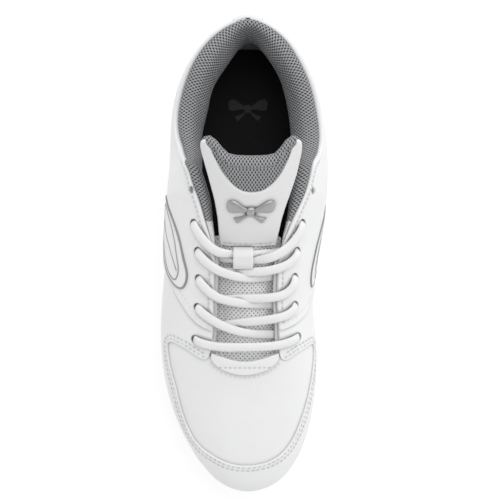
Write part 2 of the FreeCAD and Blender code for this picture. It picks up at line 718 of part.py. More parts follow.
def loop_body():
    """A webbing arch sewn to the tongue, in a frame that follows the tongue's slope."""
    body = DOC.addObject("PartDesign::Body", "lace_loop")
    body.Label = "lace_loop"
    plane = next(f for f in body.Origin.OriginFeatures if f.Role == "YZ_Plane")
    sketch = body.newObject("Sketcher::SketchObject", "lace_loop_arch")
    sketch.AttachmentSupport = [(plane, "")]
    sketch.MapMode = "FlatFace"
    reach = 5.2
    arch = [
        Vector(-reach - 0.2, 0, 0), Vector(-reach + 0.4, LOOP_INNER + WEBBING, 0),
        Vector(reach - 0.4, LOOP_INNER + WEBBING, 0), Vector(reach + 0.2, 0, 0), Vector(reach - 0.6, 0, 0),
        Vector(reach - 1.5, LOOP_INNER, 0), Vector(-reach + 1.5, LOOP_INNER, 0), Vector(-reach + 0.6, 0, 0),
    ]
    for a, b in zip(arch, arch[1:] + arch[:1]):
        sketch.addGeometry(Part.LineSegment(a, b), False)
    pad = body.newObject("PartDesign::Pad", "lace_loop_pad")
    pad.Profile = sketch
    pad.SideType = "Symmetric"
    pad.setExpression("Length", "dims.loop_width")
    rise = surface(LOOP_X, LOOP_Y + 5).z - surface(LOOP_X, LOOP_Y - 5).z
    slope = math.degrees(math.atan2(rise, 10))
    seat = surface(LOOP_X, LOOP_Y) - normal(LOOP_X, LOOP_Y) * (CROWN_DEPTH - 0.1)
    body.Placement = Placement(seat, Rotation(Vector(1, 0, 0), slope))
    DOC.recompute()
    return register(body)


loop_body()

# --------------------------------------------------------------------------------------------------------------- lace
# Each crossing, from the eyelet it leaves underneath to the next eyelet, which it enters from outside: places in the
# top view, each with its depth under the upper's surface. Row 5 is the lowest pair of eyelets.
CROSSINGS = {
    -1: {
        5: [(20.5, -40.6, 5.4), (5.5, -39.2, 2.6), (-4, -35.6, -0.5), (-13.8, -30.2, -OVER)],
        4: [(20.5, -23.6, 5.4), (5.5, -22, 2.6), (-4, -19.6, -0.5), (-13.8, -16, -OVER)],
        3: [(20.5, -8.2, 5.4), (5.5, -7.8, 2.6), (-4, -5.2, -0.5), (-13.8, -0.4, -OVER)],
        2: [(20.5, 4.8, 5.2), (5.5, 5.4, 3.2), (-4, 5.4, 2.6), (-13.8, 8.6, -OVER)],
    },
    1: {
        5: [(-13.4, -36, 5.6), (-3, -33.2, 3.3), (17.5, -29, -2.2), (26, -26.6, -OVER)],
        4: [(-13.4, -20.8, 5.6), (-3, -19.2, 3.3), (17.5, -17, -2.2), (26, -14, -OVER)],
        3: [(-13.4, -5.4, 5.6), (-3, -4.0, 3.3), (9, -3.4, 0.1), (17.5, -1.4, -2.2), (26, 2, -OVER)],
        2: [(-13.4, 2.8, 5.6), (-3, 1.7, 3.3), (8, 1.7, 3.0), (17.5, 5.4, -2.2), (26.5, 12, -OVER)],
    },
}
BAR = [(-14.5, -44.2, -OVER), (3.5, -45.2, -1.2), (21.5, -43.8, -OVER)]
TAIL_DEPTH = 6.2
TAIL = {
    -1: [(-25.5, 14), (-27, 3), (-27.8, -8), (-27.8, -22), (-28.6, -24.8), (-30.6, -26.6), (-33, -26.6), (-35, -24.8),
         (-35.8, -22), (-35.6, -14), (-35.3, -6), (-35, 3)],
    1: [(34.0, 14), (34.4, 3), (34.4, -8), (34.4, -18.6), (34.9, -21.6), (36.1, -23.5), (37.6, -23.5), (38.8, -21.6),
        (39.4, -18.6), (39.5, -11), (39.5, -4), (39.6, 3)],
}


def at_depth(x, y, depth):
    x *= WIDTH_SCALE
    y *= LENGTH_SCALE
    return surface(x, y) - normal(x, y) * depth


def eyelet_turn(sign, number):
    """The route down through an eyelet: over the leather, then under the lining."""
    spot, up, _ = eyelet_frame(sign, number)
    return [spot + up * OVER, spot - up * UNDER]


def strand_from(start_sign, row):
    """The crossings from an eyelet of one side up to the top, as the strand goes from side to side."""
    points = []
    side_now = start_sign
    while row > 1:
        side_next = -side_now
        points += [at_depth(*spot) for spot in CROSSINGS[side_next][row]]
        points += eyelet_turn(side_next, row - 1)
        side_now = side_next
        row -= 1
    return points + [at_depth(x, y, TAIL_DEPTH) for x, y in TAIL[side_now]]


def lace_route():
    lateral = eyelet_turn(-1, 5)
    medial = eyelet_turn(1, 5)
    bar = [at_depth(*spot) for spot in BAR]
    back = list(reversed(lateral + strand_from(-1, 5)))
    return back + bar + medial + strand_from(1, 5)


def rounded_path(points):
    """Straight runs joined by tangent arcs, each as large as its two runs allow."""
    edges = []
    radii = []
    start = points[0]
    for before, corner, after in zip(points, points[1:], points[2:]):
        into = (before - corner).normalize()
        out = (after - corner).normalize()
        turn = math.pi - into.getAngle(out)
        reach = 0.45 * min((before - corner).Length, (after - corner).Length)
        radius = reach / math.tan(turn / 2)
        radii.append(radius)
        first = corner + into * reach
        last = corner + out * reach
        middle_way = (into + out).normalize()
        to_centre = math.sqrt(radius**2 + reach**2)
        middle = corner + middle_way * (to_centre - radius)
        edges.append(Part.LineSegment(start, first).toShape())
        edges.append(Part.Arc(first, middle, last).toShape())
        start = last
    edges.append(Part.LineSegment(start, points[-1]).toShape())
    return edges, radii


def tube(points, radius):
    edges, radii = rounded_path(points)
    path = Part.Wire(edges)
    aim = (points[1] - points[0]).normalize()
    circle = Part.Wire([Part.Circle(points[0], aim, radius).toShape()])
    solid = path.makePipeShell([circle], True, False)
    length = sum(edge.Length for edge in edges)
    ratio = solid.Volume / (math.pi * radius**2 * length)
    print("lace", round(length, 1), "mm, volume ratio", round(ratio, 4), "least radius", round(min(radii), 2))
    print("radii", [round(r, 1) for r in radii])
    return solid


route = lace_route()
feature("lace", tube(route, LACE_R))
for end, before, name in ((route[0], route[1], "aglet_medial"), (route[-1], route[-2], "aglet_lateral")):
    out = (end - before).normalize()
    body = DOC.addObject("Part::Cylinder", name)
    body.Label = name
    body.Radius = LACE_R - 0.1
    body.setExpression("Height", "dims.aglet_length")
    body.Placement = Placement(end, Rotation(Vector(0, 0, 1), out))
    register(body)

# -------------------------------------------------------------------------------------------------- checks and output
DOC.recompute()
for obj in DOC.Objects:
    assert "Invalid" not in obj.State and "Error" not in obj.State, obj.Name
os.makedirs("parts", exist_ok=True)
whole = FreeCAD.BoundBox()
for obj in SUBPARTS:
    shape = obj.Shape
    assert not shape.isNull() and shape.isValid() and shape.Solids, obj.Label
    whole.add(shape.BoundBox)
    print(obj.Label, len(shape.Solids), "solids", round(shape.Volume), "mm3")
for obj in SUBPARTS:
    obj.Shape.exportStep(f"parts/{obj.Label}.step")
print("hinge", [round(v, 3) for v in hinge])
print("box", [round(v, 2) for v in (whole.XMin, whole.XMax, whole.YMin, whole.YMax, whole.ZMin, whole.ZMax)])
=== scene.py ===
import math

import bpy
import numpy as np
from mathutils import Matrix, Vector
from mathutils.geometry import delaunay_2d_cdt


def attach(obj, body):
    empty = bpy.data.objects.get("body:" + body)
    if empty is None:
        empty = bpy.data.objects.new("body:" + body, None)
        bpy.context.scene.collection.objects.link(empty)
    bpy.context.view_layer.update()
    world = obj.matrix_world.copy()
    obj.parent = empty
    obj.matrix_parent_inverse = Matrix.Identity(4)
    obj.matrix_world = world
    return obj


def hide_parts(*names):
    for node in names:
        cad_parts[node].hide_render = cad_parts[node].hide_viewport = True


# A right cheer shoe, white leather over a white sole. Blender works in metres, the tables are in millimetres.
# +Y runs from toe to heel, +X is the medial side.

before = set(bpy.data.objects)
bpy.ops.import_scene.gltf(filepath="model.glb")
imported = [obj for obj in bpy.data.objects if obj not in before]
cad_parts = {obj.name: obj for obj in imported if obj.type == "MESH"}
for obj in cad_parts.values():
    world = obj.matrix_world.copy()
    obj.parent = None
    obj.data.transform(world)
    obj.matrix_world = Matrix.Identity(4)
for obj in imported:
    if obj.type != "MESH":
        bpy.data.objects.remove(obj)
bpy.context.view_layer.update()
MM = 0.001
ROOT = "shoe"
FLAP = "tongue_flap"

# -------------------------------------------------------------------------------- the upper's base surface
# Cross-sections from toe to heel: place along the shoe, lateral and medial x at the widest level, height of
# that level, height of the crest, squareness of the dome, and the part of each half width left at the foot.
LAST = np.array([
    (-136.2, 3.8, 4.6, 26.5, 28.6, 2.2, 1.0, 1.0),
    (-135.8, 1.5, 7.5, 27.0, 32.0, 2.2, 1.0, 1.0),
    (-134.6, -4.0, 13.0, 27.5, 35.5, 2.2, 1.0, 1.0),
    (-131.5, -11.0, 20.0, 28.0, 39.5, 2.2, 0.99, 0.99),
    (-125.5, -18.2, 27.0, 28.0, 43.2, 2.3, 0.985, 0.985),
    (-116.0, -25.6, 33.6, 28.0, 46.3, 2.35, 0.98, 0.98),
    (-104.0, -33.0, 38.6, 27.5, 48.8, 2.4, 0.98, 0.98),
    (-88.0, -40.0, 42.6, 27.0, 51.6, 2.4, 0.98, 0.98),
    (-68.0, -45.4, 44.9, 27.0, 56.0, 2.4, 0.98, 0.98),
    (-46.0, -47.5, 44.5, 28.0, 63.5, 2.35, 0.98, 0.965),
    (-22.0, -46.6, 42.6, 32.0, 72.0, 2.3, 0.965, 0.92),
    (5.0, -43.2, 43.4, 40.0, 82.5, 2.3, 0.93, 0.83),
    (32.0, -40.5, 46.4, 48.0, 94.5, 2.3, 0.89, 0.765),
    (60.0, -39.3, 48.6, 53.0, 108.0, 2.35, 0.865, 0.745),
    (84.0, -38.3, 45.6, 54.0, 120.0, 2.4, 0.85, 0.80),
    (102.0, -34.2, 40.8, 52.0, 126.0, 2.4, 0.89, 0.885),
    (116.0, -26.4, 34.0, 50.0, 128.0, 2.4, 0.94, 0.93),
    (126.0, -17.4, 26.0, 50.0, 128.0, 2.4, 0.95, 0.95),
    (132.6, -7.6, 16.2, 50.0, 127.0, 2.4, 0.95, 0.95),
    (135.8, 1.0, 8.0, 50.0, 126.0, 2.4, 0.95, 0.95),
    (136.2, 3.9, 4.7, 50.0, 125.0, 2.4, 1.0, 1.0),
])
CREST_X = 4.0
FOOTBED_Y = np.array([-138, -118, -98, -75, -45, -15, 20, 60, 95, 138.0])
FOOTBED_Z = np.array([23.6, 19.7, 17.2, 16.5, 17.1, 19.5, 23.0, 25.5, 26.0, 26.0])
SOLE_OUTLINE = [
    (4.5, -138), (21, -132.5), (33.5, -120.5), (41, -101), (45, -81), (46.7, -58), (44.5, -34), (40.5, -10),
    (39, 15), (39.4, 45), (40.5, 75), (39.6, 100), (33.6, 120.5), (20, 134.3), (3.6, 138), (-12.6, 134.3),
    (-26.4, 120.5), (-33, 100), (-35.4, 75), (-37.8, 45), (-41.6, 15), (-46.4, -12), (-49.3, -37),
    (-48.3, -60), (-44, -83), (-37, -101), (-26, -120.5), (-12.2, -132.6),
]


def run_of(points):
    """The length run along a line at each of its points."""
    return np.r_[0, np.cumsum(np.linalg.norm(np.diff(points, axis=0), axis=1))]


def read_at(at, run, points):
    """Places at given lengths along a line."""
    return np.column_stack([np.interp(at, run, column) for column in np.transpose(points)])


def unit(vectors, tiny=1e-9):
    """The vectors at length one; tiny guards against a length of nothing."""
    return vectors / (np.linalg.norm(vectors, axis=-1, keepdims=True) + tiny)


def normals_of(grid, tiny=1e-9):
    """Unit normals of a grid of points."""
    return unit(np.cross(np.gradient(grid, axis=1), np.gradient(grid, axis=0)), tiny)


def inward_of(line, tiny=1e-9):
    """Unit normals of a closed outline, toward its inside."""
    tangent = unit(np.roll(line, -1, axis=0) - np.roll(line, 1, axis=0), tiny)
    area = np.sum(line[:, 0] * np.roll(line[:, 1], -1) - np.roll(line[:, 0], -1) * line[:, 1])
    return np.column_stack([-tangent[:, 1], tangent[:, 0]]) * (1 if area > 0 else -1)


def round_angles(count):
    """Even angles round a circle."""
    return np.linspace(0, 2 * math.pi, count + 1)[:-1]


def natural_spline(knots, values, at):
    """Natural cubic spline through rows of values, evaluated at places."""
    knots = np.asarray(knots, float)
    values = np.asarray(values, float)
    n = len(knots)
    gap = np.diff(knots)
    system = np.eye(n)
    right = np.zeros_like(values)
    for i in range(1, n - 1):
        system[i, i - 1 : i + 2] = gap[i - 1], 2 * (gap[i - 1] + gap[i]), gap[i]
        right[i] = 6 * ((values[i + 1] - values[i]) / gap[i] - (values[i] - values[i - 1]) / gap[i - 1])
    bend = np.linalg.solve(system, right)
    at = np.clip(at, knots[0], knots[-1])
    i = np.clip(np.searchsorted(knots, at, side="right") - 1, 0, n - 2)
    h = gap[i]
    a = (knots[i + 1] - at) / h
    b = 1 - a
    shape = (slice(None),) + (None,) * (values.ndim - 1)
    a, b, h = a[shape], b[shape], h[shape]
    cubic = ((a**3 - a) * bend[i] + (b**3 - b) * bend[i + 1]) * h * h / 6
    return a * values[i] + b * values[i + 1] + cubic


def spline_points(points, count, closed=False):
    """Points evenly spaced along a smooth curve through the given ones."""
    pts = np.asarray(points, float)
    if closed:
        pts = np.vstack([pts[-3:], pts, pts[:4]])
    step = run_of(pts)
    low, high = (step[3], step[-4]) if closed else (0.0, step[-1])
    fine = natural_spline(step, pts, np.linspace(low, high, 40 * len(pts)))
    run = run_of(fine)
    return read_at(np.linspace(0, run[-1], count + closed)[:count], run, fine)


class Base:
    """The upper's smooth outer surface, unrolled: a runs along the crest from the toe, b round from it."""

    ROWS = 260
    COLS = 90

    def __init__(self):
        rows = natural_spline(np.arange(len(LAST)), LAST, np.linspace(0, len(LAST) - 1, self.ROWS))
        self.y = rows[:, 0]
        floor = np.interp(self.y, FOOTBED_Y, FOOTBED_Z) - 2.0
        grid = np.zeros((self.ROWS, 2 * self.COLS + 1, 3))
        for i, row in enumerate(rows):
            grid[i, self.COLS :: -1] = self.section(row, row[1], row[6], floor[i])
            grid[i, self.COLS :] = self.section(row, row[2], row[7], floor[i])
        for _ in range(2):
            grid[:, 1:-1] = 0.25 * grid[:, :-2] + 0.5 * grid[:, 1:-1] + 0.25 * grid[:, 2:]
        self.lean_in(grid)
        self.grid = grid
        reach = np.linalg.norm(np.diff(grid, axis=1), axis=2)
        self.half = np.column_stack([reach[:, : self.COLS].sum(axis=1), reach[:, self.COLS :].sum(axis=1)])
        crest = np.linalg.norm(np.diff(grid[:, self.COLS], axis=0), axis=1)
        waist = np.linalg.norm(np.diff(rows[:, [1, 0]], axis=0), axis=1)
        self.along = np.r_[0, np.cumsum(np.maximum(crest, waist))]
        self.normals = normals_of(grid, 1e-12)

    def section(self, row, wide, foot, floor):
        """Half of a cross-section, from the crest over the dome and down the wall to its foot."""
        y, wide_z, crest_z, power = row[0], *row[3:6]
        angle = np.radians(90 - 90 * np.linspace(0, 1, 160) ** 0.9)
        down = np.linspace(0, 1, 60)[1:]
        dome_x = CREST_X + (wide - CREST_X) * np.cos(angle) ** (2 / power)
        dome_z = wide_z + (crest_z - wide_z) * np.sin(angle) ** (2 / power)
        x = np.r_[dome_x, wide - (wide - CREST_X) * (1 - foot) * down**2]
        z = np.r_[dome_z, wide_z + (floor - wide_z) * down]
        run = np.r_[0, np.cumsum(np.hypot(np.diff(x), np.diff(z)))]
        at = np.linspace(0, run[-1], self.COLS + 1)
        return np.column_stack([np.interp(at, run, x), np.full(self.COLS + 1, y), np.interp(at, run, z)])

    @staticmethod
    def lean_in(grid):
        """Around the ankle the wall leans in toward the collar, more on the lateral side."""
        x, y, z = grid[..., 0], grid[..., 1], grid[..., 2]
        amount = np.interp(y, [40, 50, 59, 66, 80, 92, 110, 136], [0, 3.0, 6.0, 6.2, 4.8, 4.2, 3.0, 2.4])
        amount = amount * np.where(x < CREST_X, 1.0, 0.55 + 0.45 * np.clip((y - 100) / 30, 0, 1))
        rise = np.clip((z - 50) / 24, 0, 1)
        fade = 1 - np.clip((z - 82) / 10, 0, 1)
        shift = amount * rise**2 * (3 - 2 * rise) * fade * fade * (3 - 2 * fade)
        away_x, away_y = x - CREST_X, np.maximum(y - 62, 0) * 0.8
        size = np.hypot(away_x, away_y) + 6
        grid[..., 0] = x - shift * away_x / size
        grid[..., 1] = y - shift * away_y / size

    def cell(self, ab):
        """Fractional grid places of unrolled points."""
        ab = np.asarray(ab, float)
        row = np.interp(ab[:, 0], self.along, np.arange(self.ROWS))
        lateral, medial = (np.interp(ab[:, 0], self.along, self.half[:, k]) for k in (0, 1))
        half = np.where(ab[:, 1] > 0, medial, lateral)
        return row, self.COLS + np.clip(ab[:, 1] / half, -1, 1) * self.COLS

    def sample(self, data, ab):
        """Bicubic reading of a grid at unrolled points."""
        row, col = self.cell(ab)
        i = np.clip(row.astype(int), 0, self.ROWS - 2)
        j = np.clip(col.astype(int), 0, 2 * self.COLS - 1)
        s, t = row - i, col - j

        def weights(f):
            f = f[:, None]
            return (
                0.5 * (-f + 2 * f**2 - f**3),
                0.5 * (2 - 5 * f**2 + 3 * f**3),
                0.5 * (f + 4 * f**2 - 3 * f**3),
                0.5 * (f**3 - f**2),
            )

        ws, wt = weights(s), weights(t)
        out = 0
        for di, wi in zip((-1, 0, 1, 2), ws):
            ii = np.clip(i + di, 0, self.ROWS - 1)
            for dj, wj in zip((-1, 0, 1, 2), wt):
                jj = np.clip(j + dj, 0, 2 * self.COLS)
                out = out + wi * wj * data[ii, jj]
        return out

    def at(self, ab, lift=0.0):
        """Points of the surface, lifted along its normals by some millimetres."""
        normal = unit(self.sample(self.normals, ab), 1e-12)
        return self.sample(self.grid, ab) + normal * np.reshape(lift, (-1, 1)), normal

    def unrolled(self, y, side, value, reading):
        """The unrolled place on one side, at a given y, where a reading of the section has a value."""
        row = np.interp(y, self.y, np.arange(self.ROWS))
        i = min(int(row), self.ROWS - 2)
        line = self.grid[i] + (self.grid[i + 1] - self.grid[i]) * (row - i)
        a = np.interp(row, np.arange(self.ROWS), self.along)
        half = np.interp(a, self.along, self.half[:, 0 if side < 0 else 1])
        growing = reading(line[self.COLS :: -1] if side < 0 else line[self.COLS :])
        place = np.interp(value, growing + np.arange(len(growing)) * 1e-9, np.arange(self.COLS + 1))
        return a, side * place / self.COLS * half

    def from_plan(self, points):
        """Unrolled places of top-view points (x, y), which lie on the dome."""

        def away(part):
            return np.maximum.accumulate(np.abs(part[:, 0] - CREST_X))

        sides = [-1 if x < CREST_X else 1 for x, _ in points]
        return np.array([self.unrolled(y, s, abs(x - CREST_X), away) for s, (x, y) in zip(sides, points)])

    def from_side(self, side, points):
        """Unrolled places of side-view points (y, z); side is -1 for lateral and 1 for medial."""
        return np.array([self.unrolled(y, side, -z, lambda part: -part[:, 2]) for y, z in points])

    def foot(self, side, a):
        """The b of the wall's foot."""
        return side * np.interp(a, self.along, self.half[:, 0 if side < 0 else 1])


BASE = Base()

# -------------------------------------------------------------------------------------------- mesh helpers


# Panels: spacing of points round a hole, distances of the fine rows from an edge, angle of a sharp edge.
HOLE_STEP = 0.5
EDGE_RINGS = (0.35, 0.8)
PANEL_SHARP = 50
# One stitch from end to end: place as a part of its length, rise over the leather, part of its full width.
STITCH_ALONG = np.array([-0.5, -0.3, 0.0, 0.3, 0.5])
STITCH_RISE = np.array([-0.18, 0.05, 0.13, 0.05, -0.18])
STITCH_WIDTH = np.array([0.35, 0.85, 1.0, 0.85, 0.35])


def new_mesh(name, verts, faces, material, uv, body=ROOT, sharp=None):
    """A smooth mesh that rides a body, from points and UVs in millimetres; sharp is an angle in degrees."""
    mesh = bpy.data.meshes.new(name)
    mesh.from_pydata((np.asarray(verts) * MM).tolist(), [], [tuple(int(i) for i in f) for f in faces])
    mesh.validate()
    mesh.update()
    obj = bpy.data.objects.new(name, mesh)
    bpy.context.scene.collection.objects.link(obj)
    mesh.materials.append(material)
    mesh.polygons.foreach_set("use_smooth", [True] * len(mesh.polygons))
    layer = mesh.uv_layers.new(name="UVMap")
    index = np.zeros(len(mesh.loops), int)
    mesh.loops.foreach_get("vertex_index", index)
    layer.data.foreach_set("uv", np.asarray(uv, float)[index].ravel())
    if sharp is not None:
        mesh.set_sharp_from_angle(angle=math.radians(sharp))
    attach(obj, body)
    return obj


def inside(points, loop):
    """Which points lie inside a closed polygon."""
    x, y = points[:, 0][:, None], points[:, 1][:, None]
    x0, y0 = loop[:, 0][None], loop[:, 1][None]
    x1, y1 = np.roll(loop[:, 0], -1)[None], np.roll(loop[:, 1], -1)[None]
    cross = (y0 > y) != (y1 > y)
    with np.errstate(divide="ignore", invalid="ignore"):
        at = (x1 - x0) * (y - y0) / (y1 - y0) + x0
    return (np.sum(cross & (x < at), axis=1) % 2) == 1


def distance_to(points, line, closed=True):
    """Distance of each point from a polyline."""
    starts = line
    ends = np.roll(line, -1, axis=0)
    if not closed:
        starts, ends = line[:-1], line[1:]
    best = np.full(len(points), 1e9)
    for low in range(0, len(points), 4000):
        p = points[low : low + 4000, None]
        d = ends - starts
        t = np.clip(np.sum((p - starts) * d, axis=2) / (np.sum(d * d, axis=1) + 1e-12), 0, 1)
        near = starts + t[..., None] * d
        best[low : low + 4000] = np.min(np.linalg.norm(p - near, axis=2), axis=1)
    return best


def joined(*lines):
    """One closed outline from lines that follow each other."""
    points = [lines[0][0]]
    for line in lines:
        for p in line:
            if np.linalg.norm(np.subtract(p, points[-1])) > 0.05:
                points.append(p)
    if np.linalg.norm(np.subtract(points[0], points[-1])) < 0.05:
        points.pop()
    return np.array(points)


def resample(loop, step):
    """A closed outline at even spacing."""
    pts = np.vstack([loop, loop[:1]])
    run = run_of(pts)
    return read_at(np.linspace(0, run[-1], max(int(run[-1] / step), 3) + 1)[:-1], run, pts)


def fill_outline(loop, holes, cell):
    """Triangles that fill an outline in the unrolled plane, fine along its edge.

    Returns the points, the triangles and the resampled outline and holes.
    """
    loop = resample(loop, cell * 0.8)
    holes = [resample(hole, HOLE_STEP) for hole in holes]
    edges, points, clouds = [], [], []
    for line, sign in [(loop, 1)] + [(hole, -1) for hole in holes]:
        start = len(points)
        points += line.tolist()
        edges += [(start + i, start + (i + 1) % len(line)) for i in range(len(line))]
        clouds += [(line + inward_of(line) * sign * ring, ring) for ring in EDGE_RINGS]
    low, high = loop.min(0), loop.max(0)
    ys = np.arange(low[1], high[1], cell * 0.866)
    gx, gy = np.meshgrid(np.arange(low[0], high[0], cell), ys)
    gx = gx + (np.arange(len(ys)) % 2)[:, None] * cell / 2
    clouds.append((np.column_stack([gx.ravel(), gy.ravel()]), EDGE_RINGS[-1] + 0.5 * cell))

    def on_panel(where):
        keep = inside(where, loop)
        for hole in holes:
            keep &= ~inside(where, hole)
        return keep

    for cloud, margin in clouds:
        keep = on_panel(cloud)
        for line in [loop, *holes]:
            keep &= distance_to(cloud, line) > margin * 0.9
        points += cloud[keep].tolist()
    verts, _, faces, *_ = delaunay_2d_cdt([Vector(p) for p in points], edges, [], 0, 1e-5)
    verts = np.array([tuple(v) for v in verts])
    faces = np.array([f for f in faces if len(f) == 3])
    faces = faces[on_panel(verts[faces].mean(axis=1))]
    cross = np.cross(verts[faces[:, 1]] - verts[faces[:, 0]], verts[faces[:, 2]] - verts[faces[:, 0]])
    faces[cross < 0] = faces[cross < 0][:, ::-1]
    used = np.unique(faces)
    back = np.full(len(verts), -1)
    back[used] = np.arange(len(used))
    return verts[used], back[faces], loop, holes


def boundary_edges(faces):
    """The edges that belong to one triangle only, in its direction."""
    edges = {(int(f[i]), int(f[(i + 1) % 3])): None for f in faces for i in range(3)}
    return [(a, b) for a, b in edges if (b, a) not in edges]


def edge_rise(distance, radius):
    """0 at a panel's edge, 1 past its rounded border."""
    t = np.clip(distance / radius, 0, 1)
    return np.sqrt(1 - (1 - t) ** 2)


def panel(name, loop, material, top=0.0, thick=1.4, holes=(), cell=1.2, radius=0.7, dents=(), body=ROOT,
          relief=None, place=None, flip=False):
    """A leather panel that lies on the base surface: a closed shell with a rounded border. dents are lines of
    stitching, where the leather is drawn down a little: (line, depth, width, closed)."""
    place = place or BASE.at
    uv, faces, loop, holes = fill_outline(loop, holes, cell)
    if flip:
        faces = faces[:, ::-1]
    edge = np.min([distance_to(uv, line) for line in [loop, *holes]], axis=0)
    lift = top - min(thick, 1.0) * 0.7 * (1 - edge_rise(edge, radius))
    for line, depth, width, closed in dents:
        lift -= depth * np.exp(-((distance_to(uv, line, closed) / width) ** 2))
    if relief is not None:
        lift += relief(uv)
    upper, _ = place(uv, lift)
    lower, _ = place(uv, np.full(len(uv), top - thick))
    count = len(uv)
    shell = [tuple(f) for f in faces] + [tuple(f[::-1] + count) for f in faces]
    shell += [(b, a, a + count, b + count) for a, b in boundary_edges(faces)]
    return new_mesh(name, np.vstack([upper, lower]), shell, material, np.vstack([uv, uv]), body, PANEL_SHARP)


def stitches(name, lines, material, lift=0.0, length=2.0, gap=0.9, wide=0.42, body=ROOT, place=None):
    """Thread stitches along each line, small rounded lozenges that dip into the leather at their ends."""
    place = place or BASE.at
    verts, faces = [], []
    last_ring = 6 * (len(STITCH_ALONG) - 1)
    for line in lines:
        run = run_of(line)
        count = int(run[-1] / (length + gap))
        for k in range(count):
            mid = (k + 0.5) * run[-1] / count
            at = np.clip(mid + STITCH_ALONG * length, 0, run[-1])
            centre, normal = place(read_at(at, run, line), lift + STITCH_RISE)
            across = np.cross(normal, unit(np.gradient(centre, axis=0)))
            start = len(verts)
            for c, n, w, s in zip(centre, normal, wide * STITCH_WIDTH, across):
                for angle in np.radians(range(0, 360, 60)):
                    verts.append(c + s * math.cos(angle) * w / 2 + n * math.sin(angle) * w / 2.6)
            for a in range(start, start + last_ring, 6):
                for i in range(6):
                    j = (i + 1) % 6
                    faces.append((a + i, a + j, a + 6 + j, a + 6 + i))
            faces.append(tuple(start + i for i in range(5, -1, -1)))
            faces.append(tuple(start + last_ring + i for i in range(6)))
    return new_mesh(name, verts, faces, material, np.zeros((len(verts), 2)), body)


def smooth_loop(points, step=1.0):
    """A smooth line through unrolled points."""
    run = np.sum(np.linalg.norm(np.diff(np.asarray(points, float), axis=0), axis=1))
    return spline_points(points, max(int(run / step), 4))


def offset_line(line, distance):
    """The line moved to its left by a distance."""
    tangent = unit(np.gradient(line, axis=0))
    return line + np.column_stack([-tangent[:, 1], tangent[:, 0]]) * distance


def trimmed(line, start, end):
    """The line without a length at each end."""
    run = run_of(line)
    return line[(run >= start) & (run <= run[-1] - end)]


# ----------------------------------------------------------------------------------------------- materials


def nodes_of(name):
    """A new material, its node tree and its shader node."""
    mat = bpy.data.materials.new(name)
    mat.use_nodes = True
    return mat, mat.node_tree, mat.node_tree.nodes["Principled BSDF"]


def fill(tree, target, inputs):
    """Sets a node's inputs: a socket is linked, anything else is a value."""
    for key, value in inputs.items():
        if isinstance(value, bpy.types.NodeSocket):
            tree.links.new(value, target.inputs[key])
        else:
            target.inputs[key].default_value = value


def node(tree, kind, inputs, output=0, **settings):
    """A new shader node with its settings and inputs. Returns one of its outputs."""
    made = tree.nodes.new(kind)
    for key, value in settings.items():
        setattr(made, key, value)
    fill(tree, made, inputs)
    return made.outputs[output]


def ramp(tree, source, stops):
    """A straight colour ramp; each stop is a place and a grey or a colour."""
    made = tree.nodes.new("ShaderNodeValToRGB")
    while len(made.color_ramp.elements) < len(stops):
        made.color_ramp.elements.new(0.5)
    for element, (place, value) in zip(made.color_ramp.elements, stops):
        element.position = place
        element.color = (*(value if isinstance(value, tuple) else (value,) * 3), 1)
    tree.links.new(source, made.inputs["Fac"])
    return made.outputs["Color"]


def mottled(tree, source, colour, share):
    """The colour, down to a share of it where the source is low."""
    return ramp(tree, source, [(0.3, tuple(c * share for c in colour)), (0.7, colour)])


def bump(tree, shader, height, strength, distance, after=None):
    """Bumps for the shader, on top of an earlier bump if there is one."""
    inputs = {"Strength": strength, "Distance": distance, "Height": height}
    if after is not None:
        inputs["Normal"] = after
    normal = node(tree, "ShaderNodeBump", inputs, "Normal")
    tree.links.new(normal, shader.inputs["Normal"])
    return normal


def object_noise(tree, scale, detail=3.0, kind="ShaderNodeTexNoise", output="Fac"):
    """A noise texture on object coordinates."""
    place = node(tree, "ShaderNodeTexCoord", {}, "Object")
    return node(tree, kind, {"Scale": scale, "Detail": detail, "Vector": place}, output)


def painted_crease_shade(tree, colour, reach, darkest_shade):
    """The colour with painted shade: darker in seams and creases narrower than the reach, where shade falls.
    """
    shade_ao = node(tree, "ShaderNodeAmbientOcclusion", {"Distance": reach}, "AO", samples=6)
    amount = ramp(tree, shade_ao, [(0.35, darkest_shade), (0.97, 1.0)])
    return node(tree, "ShaderNodeMix", {"Factor": 1.0, "A": colour, "B": amount}, "Result",
                data_type="RGBA", blend_type="MULTIPLY")


def leather(name, colour, rough=0.42, grain=0.25):
    """Smooth coated leather: a fine pore grain, broad soft unevenness, a faint change of sheen and painted
    shade in its seams and creases.
    """
    mat, tree, shader = nodes_of(name)
    tint = mottled(tree, object_noise(tree, 38.0, 2.0), colour, 0.985)
    sheen = ramp(tree, object_noise(tree, 140.0, 4.0), [(0.3, rough - 0.05), (0.7, rough + 0.06)])
    pores = object_noise(tree, 1500.0, kind="ShaderNodeTexVoronoi", output="Distance")
    # The base colour is darkened by painted shade in seams and creases.
    fill(tree, shader, {"Base Color": painted_crease_shade(tree, tint, 0.0024, 0.30), "Roughness": sheen,
                        "Specular IOR Level": 0.42})
    first = bump(tree, shader, object_noise(tree, 75.0), 0.25, 0.0012)
    bump(tree, shader, pores, grain, 0.00012, first)
    return mat


